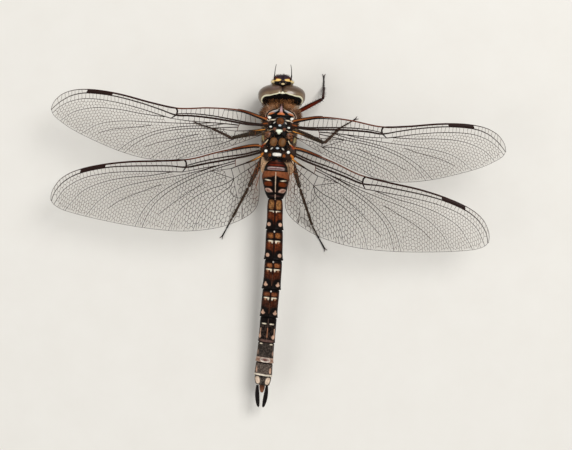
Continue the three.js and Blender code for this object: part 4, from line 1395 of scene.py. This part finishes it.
def abdomen_paint(across, along, under):
    """Marks by distance from the middle line of the back and place along the body."""
    skin = Paint(across, along, ABDOMEN_BLACK)
    for number in MIDDLE_SEGMENTS:
        mark_middle_segment(skin, number)

    # Segment 1: dark, with red-brown bars and a mauve rear bar.
    skin.band(ABDOMEN_BLACK, 0, 6.0)
    skin.spot((116, 48, 26), (0, 4.75), (1.55, 0.22), soft=0.1, power=3)
    skin.spot((100, 46, 28), (0, 4.2), (1.2, 0.14), soft=0.1, power=3)
    skin.spot((112, 70, 54), (0, 3.95), (0.3, 0.2), soft=0.12)
    skin.spot((196, 178, 172), (0, 5.5), (1.72, 0.31), soft=0.05, power=5)
    skin.spot((132, 106, 106), (0, 5.53), (1.58, 0.2), soft=0.05, power=4)
    skin.spot((120, 96, 96), (0, 5.5), (0.2, 0.24), soft=0.08)

    # Segment 2: brown collar, cream middle stripe, bars, lobes and leaf-shaped spots.
    collar_brown = (142, 90, 60)
    skin.band(collar_brown, 6.02, 7.3, 0.08)
    skin.spot(ABDOMEN_BLACK, (0, 7.4), (0.9, 0.4), soft=0.15)
    skin.pair(collar_brown, (2.3, 7.3), (0.6, 0.7), soft=0.15)
    skin.pair((122, 62, 30), (1.45, 8.75), (0.95, 0.5), soft=0.2)
    skin.pair(BLACK, (1.4, 7.75), (1.1, 0.3), soft=0.1, power=3)
    skin.pair(CREAM, (1.6, 7.95), (0.58, 0.12), turn=-8, soft=0.05)
    skin.pair(ABDOMEN_BLACK, (0.45, 8.8), (0.22, 1.0), soft=0.12)
    skin.lines(BLACK, [(0.2, 9.7), (1.0, 9.3), (1.9, 9.4), (2.5, 9.1)], 0.13, 0.06)
    skin.pair((204, 172, 156), (1.36, 10.12), (0.86, 0.46), turn=-24, soft=0.06, power=1.6)
    skin.pair((128, 88, 72), (1.46, 10.1), (0.44, 0.22), turn=-24, soft=0.1, strength=0.75)
    skin.spot(ABDOMEN_BLACK, (0, 10.7), (2.2, 0.32), soft=0.12)
    skin.spot((98, 72, 66), (0, 11.2), (1.1, 0.16), soft=0.1, strength=0.7)
    skin.line((214, 190, 168), [(0, 6.3), (0, 10.3)], 0.085, 0.04)
    skin.line((196, 170, 150), [(0, 10.9), (0, 11.9)], 0.09, 0.05)

    # Segments 8 to 10: charcoal with pale rings.
    front_8, front_9, front_10 = (SEGMENTS[number - 1][0] for number in (8, 9, 10))
    skin.band(CHARCOAL, front_8, 60, 0.08)
    skin.band((94, 83, 76), front_9, front_10, 0.1)
    skin.speckle((134, 122, 112), front_8 + 0.2, front_9 - 1.2, 0.3)
    skin.speckle((150, 138, 128), front_9, front_10 + 1.9, 0.45)
    skin.pair(CREAM, (1.05, front_8 + 0.3), (0.28, 0.12), soft=0.05)
    skin.pair((190, 160, 142), (1.55, front_8 + 2.2), (0.16, 0.5), soft=0.1, strength=0.7)
    skin.band((188, 164, 148), front_9 - 1.14, front_9 + 0.05, 0.05)
    skin.spot((150, 120, 104), (0, front_9 - 0.56), (1.85, 0.36), soft=0.12, power=2.6)
    skin.spot((228, 216, 204), (-0.1, front_9 - 0.6), (1.08, 0.5), soft=0.06, power=2.2)
    skin.spot(RING_MAUVE, (-0.1, front_9 - 0.68), (0.94, 0.38), soft=0.06, power=2.2)
    skin.spot((116, 78, 70), (-0.1, front_9 - 0.66), (0.5, 0.22), soft=0.12)
    skin.band((30, 26, 24), front_9 + 0.02, front_9 + 0.2, 0.05)
    skin.spot(PINKISH, (1.48, front_9 + 1.6), (0.15, 0.6), soft=0.06)
    skin.spot(PINKISH, (-1.36, front_9 + 1.6), (0.2, 0.62), soft=0.06)
    skin.band((222, 212, 196), front_10 - 0.5, front_10 - 0.14, 0.05)
    skin.band((34, 30, 28), front_10 - 0.14, front_10 + 0.1, 0.05)
    skin.pair((226, 206, 186), (1.06, front_10 + 0.87), (0.45, 0.78), turn=14, soft=0.08, power=2.6)

    # Underneath everything is plain brown, with a dark middle line and joints.
    skin.lay((88, 66, 52), under)
    for _, stop, *_ in SEGMENTS:
        skin.band(BLACK, stop - 0.09, stop + 0.06, 0.04)
    return skin.colours


def build_abdomen(material):
    y, wide, tall = abdomen_rings().T[..., None]
    angle = 2 * np.pi * np.arange(ABDOMEN_SIDES) / ABDOMEN_SIDES  # from the top towards the left
    c, s = np.cos(angle), np.sin(angle)
    shape = (np.abs(c) ** ABDOMEN_POWER + np.abs(s) ** ABDOMEN_POWER) ** (-1 / ABDOMEN_POWER)
    keel = 0.05 * bell(np.sin(angle / 2), 0.03)
    fold = 0.3 * smoothstep(0.2, 0.02, np.abs(s)) * (c < 0)
    x = spine_x(y) + wide * s * shape
    z = spine_z(y) + tall * c * (shape + keel) + fold
    slanted = y + tail_slant(y) * (x - spine_x(y))
    points, faces = capped_rings(np.stack([x, slanted, z], -1))
    turn = np.where(angle > np.pi, angle - 2 * np.pi, angle)
    chart = np.where(np.abs(turn) < np.pi / 2, np.sin(turn), np.sign(turn) * (1 + np.abs(turn) - np.pi / 2))
    along = np.repeat(y, ABDOMEN_SIDES)
    under = np.tile(smoothstep(-0.35, -0.6, c), len(y))
    colours = abdomen_paint((wide * chart).ravel(), along, under)
    nodes = [f"abdomen_{k}" for k in range(1, 11)]
    make_piece("abdomen_skin", points, faces, colours, material, "abdomen", nodes)


# The plates at the tail's tip: from, to, half widths, inner and rim tones.
CERCUS = (51.45, 56.15, [0.26, 0.4, 0.47, 0.42, 0.24], (34, 30, 30), (66, 58, 54))
EPIPROCT = (51.45, 53.1, [0.62, 0.54, 0.28], (150, 104, 80), (186, 146, 122))
EPIPROCT_DROP = 0.95
CERCI_APART = (1.0, 0.5)  # half the gap between the cerci's middles, at base and tip


def tail_plate(node, shape, aside, drop, material):
    """A leaf-shaped plate with a keel along its upper face."""
    start, stop, half_widths, tone, edge = shape
    rows, sides = 60, 32
    t = np.linspace(0, 1, rows)[:, None]
    half = evenly(half_widths)(t) * np.sqrt(np.clip(1 - ((t - 0.9) / 0.1).clip(0) ** 2, 0.02, 1))
    angle = 2 * np.pi * np.arange(sides) / sides
    lift = 0.16 * np.sin(angle) + 0.1 * bell(angle - np.pi / 2, 0.3)
    base, tip = aside
    x = spine_x(51.5) + base + (tip - base) * t * t + half * np.cos(angle)
    y = start + (stop - start) * t + 0 * x
    z = spine_z(51.5) - drop + lift * np.minimum(1, half / 0.3)
    points, faces = capped_rings(np.stack([x, y, z], -1))
    rim = np.abs(np.cos(angle))[:, None] ** 3
    colours = np.tile(linear(*tone) * (1 - rim) + linear(*edge) * rim, (rows, 1))
    make_piece(f"{node}_skin", points, faces, colours, material, "tail", [node])


def build_tail(material):
    for name, side in SIDES.items():
        tail_plate(f"cercus_{name}", CERCUS, side * np.array(CERCI_APART), 0, material)
    tail_plate("epiproct", EPIPROCT, (0, 0), EPIPROCT_DROP, material)


# ---------------------------------------------------------------- legs

# Each leg: root, hip and knee as (x, y, z), ankle and toe as (x, y), all on the +X side.
LEGS = {
    "fore_right": [(1.2, -5.7, 4.6), (2.4, -6.5, 2.9), (8.7, -10.2, 4.9), (8.8, -13.0), (8.65, -15.5)],
    "fore_left": [(1.2, -5.7, 4.6), (1.7, -5.2, 2.75), (4.4, -10.7, 3.7), (1.4, -12.5), (-0.75, -13.7)],
    "middle_right": [(1.3, -2.9, 4.4), (2.4, -3.6, 2.6), (9.65, -0.8, 5.3), (12.8, -4.5), (16.2, -6.8)],
    "middle_left": [(1.3, -2.9, 4.4), (2.4, -2.9, 2.6), (10.1, -0.55, 5.3), (14.65, -2.55), (18.4, -3.6)],
    "hind_right": [(1.2, 0.3, 4.7), (2.2, 1.0, 2.9), (5.1, 9.1, 5.3), (8.35, 16.9), (11.4, 21.7)],
    "hind_left": [(1.2, 0.3, 4.7), (2.4, 1.0, 2.9), (5.8, 9.65, 5.3), (8.95, 16.4), (10.9, 20.6)],
}
ANKLE_HEIGHT = 0.72
SOLE_HEIGHT = 0.2
LEG_BLACK = linear(28, 21, 21)
FOOT_BROWN = linear(38, 24, 18)
CLAW_BROWN = linear(70, 40, 30)
# For each pair: thigh colour, how far along it turns black, thigh radius, shin colour, shin radius,
# and how dark the thigh's front is.
LEG_LOOKS = {
    "fore": (linear(122, 50, 28), 0.85, 0.48, linear(60, 30, 17), 0.29, 0.8),
    "middle": (linear(56, 34, 30), 0.4, 0.51, linear(66, 44, 34), 0.3, 0.0),
    "hind": (linear(72, 38, 27), 0.6, 0.52, linear(50, 27, 18), 0.29, 0.0),
}
# A foot's claws: ahead, aside and up from the toe, then the radius.
CLAW = [(-0.1, 0.06, 0, 0.08), (0.18, 0.2, 0.06, 0.07), (0.4, 0.3, 0, 0.05), (0.48, 0.33, -0.14, 0.015)]


def part_way(start, stop, share):
    return start + (stop - start) * share


def limb(pile, start, stop, thick, profile, near, far, reach=0.5, bow=0.0, dark_front=0.0):
    """One leg segment: a rod with a swelling profile, coloured near to far."""
    t = np.linspace(0, 1, 26)
    path = part_way(start, stop, t[:, None])
    path[:, 2] += bow * np.sin(np.pi * t)
    ends = np.sqrt(np.clip(1 - np.clip((np.abs(t - 0.5) - 0.46) / 0.04, 0, 1) ** 2, 0.06, 1))
    cloud, faces = tube(path, thick * evenly(profile)(t) * ends, 12)
    fade = smoothstep(reach - 0.25, reach + 0.25, t)[:, None]
    tones = near * (1 - fade) + far * fade
    outward = cloud[: 12 * len(t)] - np.repeat(path, 12, axis=0)
    front = dark_front * smoothstep(0.0, 0.5, -outward[:, 1] / lengths_of(outward))[:, None]
    sides = np.repeat(tones, 12, axis=0) * (1 - front)
    pile.add(cloud, faces, np.concatenate([sides, tones[:1], tones[-1:]]))


def spines(pile, start, stop, radius, rng, count, length):
    """Two rows of bristles along the lower side of a segment, slanting to its far end."""
    along = (stop - start) / np.linalg.norm(stop - start)
    side = np.cross(along, (0, 0, 1.0))
    side /= np.linalg.norm(side)
    for hand in (1, -1):
        lean = 0.75 * hand * side + 0.55 * along + (0, 0, -0.35)
        lean /= np.linalg.norm(lean)
        for k in range(count):
            t = (k + 0.6 + rng.uniform(-0.15, 0.15)) / (count + 0.4)
            size = length * (0.8 + 0.4 * rng.random()) * (1.1 - 0.5 * t)
            reaches = np.array([[radius * 0.4], [radius + size * 0.5], [radius + size]])
            path = part_way(start, stop, t) + lean * reaches
            path[2] += along * size * 0.15
            path[:, 2] = np.maximum(path[:, 2], 0.03)
            pile.rod(path, [0.045, 0.03, 0.008], 4, LEG_BLACK * 0.8)


def build_leg(name, joints, looks, side, rng, material):
    tone, reach, thigh, shin_tone, shin, dark_front = looks
    root, hip, knee, ankle, toe = (np.array(place) * (side, 1, 1) for place in joints)
    sole = part_way(ankle, toe, 0.4)
    sole[2] = SOLE_HEIGHT
    pile = Pile()

    # The coxa and the ring that joins it to the thigh, then the thigh, the shin and their spines.
    limb(pile, root + (0, 0, 0.4), hip, 0.62, [1.0, 1.0, 0.85, 0.7], linear(92, 64, 46), linear(60, 40, 32))
    joint = part_way(hip, knee, 0.09)
    limb(pile, hip, joint, 0.45, [0.8, 1.0, 0.85], linear(70, 42, 32), linear(84, 46, 32))
    near = part_way(hip, knee, 0.06)
    limb(pile, near, knee, thigh, [0.62, 0.95, 1.0, 0.85, 0.72], tone, LEG_BLACK, reach, 0.12, dark_front)
    limb(pile, knee, ankle, shin, [1.0, 1.05, 0.95, 0.9, 1.0], shin_tone, shin_tone * 0.6, 0.6, 0.1)
    spines(pile, part_way(hip, knee, 0.35), knee, thigh, rng, 7, 0.45)
    spines(pile, part_way(knee, ankle, 0.08), ankle, 0.26, rng, 9, 0.75)

    # The foot's three pieces and its two claws.
    first, second = part_way(ankle, sole, 0.5), part_way(sole, toe, 0.25)
    limb(pile, ankle, first, 0.2, [0.8, 0.85, 1.0], FOOT_BROWN, FOOT_BROWN)
    limb(pile, first, second, 0.19, [0.7, 0.8, 0.95], FOOT_BROWN, FOOT_BROWN)
    limb(pile, second, toe, 0.17, [0.7, 0.85, 1.0], FOOT_BROWN, FOOT_BROWN)
    ahead = (toe - second) / np.linalg.norm(toe - second)
    aside = np.cross(ahead, (0, 0, 1.0))
    for hand in (1, -1):
        path = [toe + ahead * out + aside * hand * wide + (0, 0, up) for out, wide, up, _ in CLAW]
        pile.rod(path, [radius for *_, radius in CLAW], 6, CLAW_BROWN)
    nodes = [f"{part}_{name}" for part in ("coxa", "femur", "tibia", "tarsus")]
    pile.piece(f"leg_{name}", material, "leg", nodes)


def build_legs(material):
    rng = np.random.default_rng(3)
    for name, (root, hip, knee, ankle, toe) in LEGS.items():
        pair, side_name = name.split("_")
        joints = (root, hip, knee, (*ankle, ANKLE_HEIGHT), (*toe, SOLE_HEIGHT))
        build_leg(name, joints, LEG_LOOKS[pair], SIDES[side_name], rng, material)


# ---------------------------------------------------------------- hair

FUR_HAIRS = 7500
RUFF_HAIRS = 1050
NECK_HAIRS = 1300
FACE_HAIRS = 1500
TUFT_PATCH = 0.003  # each bristle's width and height on the unwrap
TUFT_CORNERS = np.array([(-1, -1), (1, -1), (0, -0.6), (-0.6, 0.2), (0.6, 0.2), (0, 0.4), (0, 1)]) / 2
# The triangles of one bristle: its base, two rings of sides and its point.
BRISTLE = [[0, 2, 1], [0, 1, 4], [0, 4, 3], [1, 2, 5], [1, 5, 4], [2, 0, 3], [2, 3, 5]]
BRISTLE += [[3, 4, 6], [4, 5, 6], [5, 3, 6]]


def face_points(points, faces, rng, count, weight):
    """Random places on a mesh of quads, with their normals: more of them where weight is higher.
    Weight is a function of each face's x, y and z, and of how far the face looks to the rear."""
    a, b, c, d = (points[faces[:, k]] for k in range(4))
    normal = np.cross(c - a, d - b)
    area = lengths_of(normal)
    normal = units(normal)
    chance = area * weight(*((a + b + c + d) / 4).T, normal[:, 1])
    chosen = rng.choice(len(faces), count, p=chance / chance.sum())
    s, t = rng.random((2, count, 1))
    place = (a[chosen] * (1 - s) + b[chosen] * s) * (1 - t) + (d[chosen] * (1 - s) + c[chosen] * s) * t
    return place, normal[chosen]


def build_coat(name, roots, lean, lengths, radius, colours, chart, material, slot):
    """Separate bristles, each a closed three-sided spike that droops a little."""
    lean = units(lean)
    side = units(np.cross(lean, (0.3, 0.2, 1.0)))
    other = np.cross(lean, side)
    lengths = lengths[:, None]
    droop = np.array([0, 0, -0.12]) * lengths
    rings = []
    for share, thick, sag in ((-0.06, 1.0, 0.0), (0.55, 0.75, 0.35)):
        middle = roots + lean * lengths * share + droop * sag
        for turn in 2 * math.pi * np.arange(3) / 3:
            rings.append(middle + radius * thick * (math.cos(turn) * side + math.sin(turn) * other))
    rings.append(roots + lean * lengths + droop)
    faces = (7 * np.arange(len(roots))[:, None, None] + np.array(BRISTLE)).reshape(-1, 3)
    points = np.stack(rings, 1).reshape(-1, 3)
    piece = make_piece(name, points, faces.tolist(), np.repeat(colours, 7, axis=0), material, slot)
    spots = (chart(roots)[:, None, :] + TUFT_PATCH * TUFT_CORNERS).reshape(-1, 2)
    layer = piece.data.uv_layers.new(name="OFBake")
    layer.data.foreach_set("uv", spots[faces.ravel()].astype(np.float32).ravel())


def round_chart(centre_z, low, high):
    """An unwrap round the body's long axis: the turn about it, and the place along it."""

    def chart(points):
        turn = np.arctan2(points[:, 0], points[:, 2] - centre_z) / (2 * np.pi) + 0.5
        place = (points[:, 1] - low) / (high - low)
        return 0.02 + 0.96 * np.stack([turn, np.clip(place, 0, 1)], 1)

    return chart


THORAX_CHART = round_chart(7.7, -9.2, 8.6)
HEAD_CHART = round_chart(7.8, -14.7, -7.6)


# ---------------------------------------------------------------- body


def on_thorax(x, y, z, _):
    """How thick the fur is: thickest in front, thin on the sides and below, bare on the collar."""
    u = np.abs(thorax_across(x, y))
    in_crown = (inside_path(u, y, COLLAR) & (z > 9)) | ((u < 0.35) & (z > 8.2) & (y < -6))
    front = smoothstep(-4.6, -6.0, y)
    side = 0.28 * smoothstep(2.2, 3.0, np.abs(x)) * (y < 2.4)
    below = 0.25 * (z < 6)
    back = 0.05 * (z > 10.5) * (y > -5) * (u < 2.6)
    total = np.maximum.reduce([front, side, below, back]) * ~in_crown
    near_wing = (np.abs(x) > 2.2) & (z > 9.6) & (y > -5.2)
    return np.where(near_wing, 0.05, total) + 1e-6


def on_ruff(x, y, z, _):
    return (y < -6.9) * (z > 8.4) * smoothstep(0.4, 0.8, np.abs(x)) + 1e-7


def behind_eyes(x, y, z, rearward):
    middle = 0.3 + 0.7 * smoothstep(3.2, 1.5, np.abs(x))
    shown = smoothstep(-9.4, -8.9, y) * smoothstep(7.0, 8.5, z)
    return shown * (rearward > 0.2) * (np.abs(x) < 4.1) * middle + 1e-7


def on_face(x, y, z, _):
    return (y < -12.2) * (z > 5) * (z < 9.9) * (np.abs(x) < 2.4) + 1e-7


def add_fur(points, faces, rng, hair):
    roots, normals = face_points(points, faces, rng, FUR_HAIRS, on_thorax)
    x, y, z = roots.T
    front = smoothstep(-4.6, -6.4, y)[:, None]
    ahead = smoothstep(-6.5, -7.3, y)[:, None]
    lie = normals * 0.9 + rng.normal(0, 0.28, roots.shape)
    lie = lie + front * (0, -0.15, 0.25) + (1 - front) * (0, 0.45, 0) + ahead * (0, -0.75, 0)
    lengths = (0.42 + 0.5 * front[:, 0] + 0.25 * ahead[:, 0]) * rng.uniform(0.6, 1.4, len(roots))
    lengths = np.where((z > 10.5) & (y > -5.2), 0.35, lengths)
    # Painted shade: hairs on the outer sides are laid darker.
    shade = 1 - 0.45 * smoothstep(2.6, 3.6, np.abs(x))[:, None]
    hair_tone = linear(196, 154, 120) * shade * rng.choice([0.3, 0.8, 1.3, 2.1], (len(roots), 1))
    colours = thorax_paint(roots) * 0.35 + hair_tone * 0.65
    build_coat("thorax_hair", roots, lie, lengths, 0.021, colours, THORAX_CHART, hair, "thorax")


def add_ruff(points, faces, rng, hair):
    """A ruff of long, paler hairs fans forward over the hollow at the back of the head."""
    roots, normals = face_points(points, faces, rng, RUFF_HAIRS, on_ruff)
    lie = normals * 0.35 + rng.normal(0, 0.13, roots.shape)
    lie = lie + roots * (0.36, 0, 0) + (0, -0.85, 0.3)
    lengths = rng.uniform(1.0, 2.0, len(roots))
    tones = np.where(np.abs(roots[:, :1]) < 2.2, linear(196, 146, 104), linear(218, 194, 168))
    tones = tones * rng.choice([0.25, 0.8, 1.3], (len(roots), 1))
    build_coat("thorax_ruff", roots, lie, lengths, 0.019, tones, THORAX_CHART, hair, "thorax")


def build_thorax(rng, hair):
    shell = cuticle("thorax_shell", 0.4, 8.0, 0.02, mottling=(0.72, 1.25), gloss=0.1)
    points, faces = surface_net(thorax_field, *THORAX_NET)
    nodes = ["thorax", "prothorax"]
    make_piece("thorax_skin", points, faces.tolist(), thorax_paint(points), shell, "thorax", nodes)
    add_fur(points, faces, rng, hair)
    add_ruff(points, faces, rng, hair)


def build_eyes():
    glass = eye_material()
    points, faces = surface_net(eye_field, *EYE_NET)
    for name, side in SIDES.items():
        flipped = points * (side, 1, 1)
        turned = faces[:, ::side].tolist()
        make_piece(f"eye_{name}_skin", flipped, turned, eye_paint(flipped), glass, "eye", [f"eye_{name}"])


OCELLI = [((0, -12.85, 10.95), 0.18), ((0.62, -12.4, 11.02), 0.17), ((-0.62, -12.4, 11.02), 0.17)]


def build_ocelli():
    beads, tree, shader = principled("ocelli", 0.1, Coat_Weight=0.6)
    painted(tree, shader, noise(tree, 3.0, 3.0), 0.9, 1.1)
    pile = Pile()
    t = np.linspace(-1, 1, 14) * np.pi / 2
    for centre, radius in OCELLI:
        path = np.array(centre) + np.outer(radius * np.sin(t), (0, 0.3, 1))
        pile.rod(path, radius * np.cos(t) + 0.004, 14, linear(92, 60, 34), up=(1, 0, 0))
    pile.piece("ocelli", beads, "head")


# An antenna's joints on the +X side, the point that its whip bends towards, and the radii of its
# two stout joints.
ANTENNA = np.array([(1.6, -13.05, 10.45), (1.78, -13.5, 10.85), (1.78, -14.2, 11.25), (1.5, -16.2, 11.85)])
WHIP_BEND = np.array([1.76, -15.1, 11.7])
SCAPE = [0.13, 0.19, 0.2, 0.19, 0.17, 0.15, 0.13, 0.1]
PEDICEL = [0.1, 0.13, 0.14, 0.14, 0.13, 0.12, 0.1, 0.08]


def build_antennae(skin):
    base, knob, bend, tip = ANTENNA
    t = np.linspace(0, 1, 16)[:, None]
    whip = (1 - t) ** 2 * (bend - 0.03) + 2 * t * (1 - t) * WHIP_BEND + t * t * tip
    for name, side in SIDES.items():
        pile = Pile()
        mirror = (side, 1, 1)
        pile.rod(np.linspace(base, knob, 8) * mirror, SCAPE, 10, linear(44, 34, 32))
        pile.rod(np.linspace(knob - 0.02, bend, 8) * mirror, PEDICEL, 10, linear(38, 30, 28))
        pile.rod(whip * mirror, np.linspace(0.1, 0.05, 16), 8, linear(30, 24, 24))
        pile.piece(f"antenna_{name}_skin", skin, "head", [f"antenna_{name}"])


def add_head_hair(points, faces, rng, hair):
    """Fur in the hollow behind the eyes, then short bristles on the face."""
    roots, normals = face_points(points, faces, rng, NECK_HAIRS, behind_eyes)
    lie = normals * 0.8 + rng.normal(0, 0.2, roots.shape) + (0, 0.25, 0.35)
    lengths = rng.uniform(0.35, 0.85, len(roots))
    tones = linear(176, 128, 86) * rng.choice([0.05, 0.7, 1.8], (len(roots), 1)) + head_paint(roots) * 0.2
    tones = tones * (1 - 0.6 * smoothstep(1.7, 2.9, np.abs(roots[:, :1])))
    build_coat("head_hair", roots, lie, lengths, 0.02, tones, HEAD_CHART, hair, "head")

    roots, normals = face_points(points, faces, rng, FACE_HAIRS, on_face)
    lie = normals + rng.normal(0, 0.2, roots.shape)
    lengths = rng.uniform(0.18, 0.4, len(roots))
    tones = linear(70, 54, 44) * 0.7 + head_paint(roots) * 0.3
    build_coat("face_hair", roots, lie, lengths, 0.013, tones, HEAD_CHART, hair, "head")


def build_head(rng, hair):
    skin = cuticle("head_shell", 0.42, 10.0, 0.015, mottling=(0.85, 1.15), gloss=0.07)
    points, faces = surface_net(head_field, *HEAD_NET)
    nodes = ["head", "face", "labium"]
    make_piece("head_skin", points, faces.tolist(), head_paint(points), skin, "head", nodes)
    build_eyes()
    build_ocelli()
    build_antennae(skin)
    add_head_hair(points, faces, rng, hair)


def build_body():
    rng = np.random.default_rng(11)
    hair = cuticle("body_hair", 0.6, 20.0, 0.001, mottling=(0.85, 1.15), gloss=0.1)
    build_thorax(rng, hair)
    build_head(rng, hair)
    build_abdomen(cuticle("abdomen_shell", 0.42, 9.0, 0.018, mottling=(0.62, 1.3), gloss=0.05))
    build_tail(cuticle("tail_shell", 0.45, 9.0, 0.015, gloss=0.06))
    build_legs(cuticle("leg_shell", 0.42, 12.0, 0.01, gloss=0.12))


# ---------------------------------------------------------------- stage

VIEW_CENTRE = (-2.7, 17.1)  # millimetres, in the animal's own frame
VIEW_WIDTH = 120.1
VIEW_HEIGHT_OF_SCALE = 9.0  # the level at which the view is that wide
VIEW_ROLL = 3.95  # degrees
LENS = 100.0
SENSOR = 36.0
BACKDROP = (*linear(238, 236, 231), 1)
FLOOR_CORNERS = [(-3, -3, 0), (3, -3, 0), (3, 3, 0), (-3, 3, 0)]  # metres


def build_camera():
    data = bpy.data.cameras.new("camera")
    data.lens = LENS
    data.sensor_width = SENSOR
    data.clip_start = 0.01
    camera = add_object("camera", data)
    distance = VIEW_WIDTH * LENS / SENSOR
    place = in_metres([*VIEW_CENTRE, VIEW_HEIGHT_OF_SCALE + distance])
    half_turn = Matrix.Rotation(math.radians(180 + VIEW_ROLL), 4, "Z")
    camera.matrix_world = Matrix.Translation(Vector(place)) @ half_turn
    bpy.context.scene.camera = camera


def area_lamp(name, place, size, power):
    """A round lamp that shines on the insect: place and size in metres, power in watts."""
    data = bpy.data.lights.new(name, "AREA")
    data.shape = "DISK"
    data.size = size
    data.energy = power
    lamp = add_object(name, data)
    lamp.location = place
    lamp.rotation_euler = (-Vector(place)).to_track_quat("-Z", "Y").to_euler()


def build_floor():
    material, tree, shader = principled("floor", 0.9)
    two_toned(tree, shader, noise(tree, 0.12, 4.0), (226, 222, 214), (232, 229, 222))

    # Far from the insect the camera sees the floor in the backdrop's own tone, with no horizon.
    place = add_node(tree, "NewGeometry")
    reach = add_node(tree, "VectorMath", {0: place.outputs["Position"]}, operation="LENGTH")
    rays = add_node(tree, "LightPath")
    fade = add_node(tree, "Math", {1: rays.outputs["Is Camera Ray"]}, operation="MULTIPLY")
    feed(tree, fade.inputs[0], ramp(tree, reach.outputs["Value"], 0, 1, 0.12, 0.6))
    glow = add_node(tree, "Emission", {"Color": BACKDROP})
    looks = {"Fac": fade.outputs["Value"], 1: shader.outputs["BSDF"], 2: glow.outputs["Emission"]}
    blend = add_node(tree, "MixShader", looks)
    feed(tree, tree.nodes["Material Output"].inputs["Surface"], blend.outputs["Shader"])
    mesh = bpy.data.meshes.new("floor")
    mesh.from_pydata(FLOOR_CORNERS, [], [(0, 1, 2, 3)])
    mesh.materials.append(material)
    add_object("floor", mesh)


def build_world():
    """White light from all round, and the backdrop's tone wherever the camera looks past the floor."""
    world = bpy.data.worlds.new("world")
    world.use_nodes = True
    tree = world.node_tree
    light = tree.nodes["Background"]
    light.inputs["Color"].default_value = (1, 1, 1, 1)
    light.inputs["Strength"].default_value = 0.4
    backdrop = add_node(tree, "Background", {"Color": BACKDROP})
    seen = add_node(tree, "LightPath")
    choice = add_node(tree, "MixShader", {"Fac": seen.outputs["Is Camera Ray"]})
    for place, glow in ((1, light), (2, backdrop)):
        feed(tree, choice.inputs[place], glow.outputs["Background"])
    feed(tree, tree.nodes["World Output"].inputs["Surface"], choice.outputs["Shader"])
    bpy.context.scene.world = world


def build_stage():
    build_floor()
    area_lamp("key_light", (-0.32, -0.34, 0.7), 0.45, 5.0)
    area_lamp("fill_light", (0.6, 0.2, 0.5), 0.6, 1.7)
    build_world()
    bpy.context.scene.view_settings.view_transform = "Standard"


# ---------------------------------------------------------------- the scene

build_camera()
build_stage()
build_wings()
build_body()
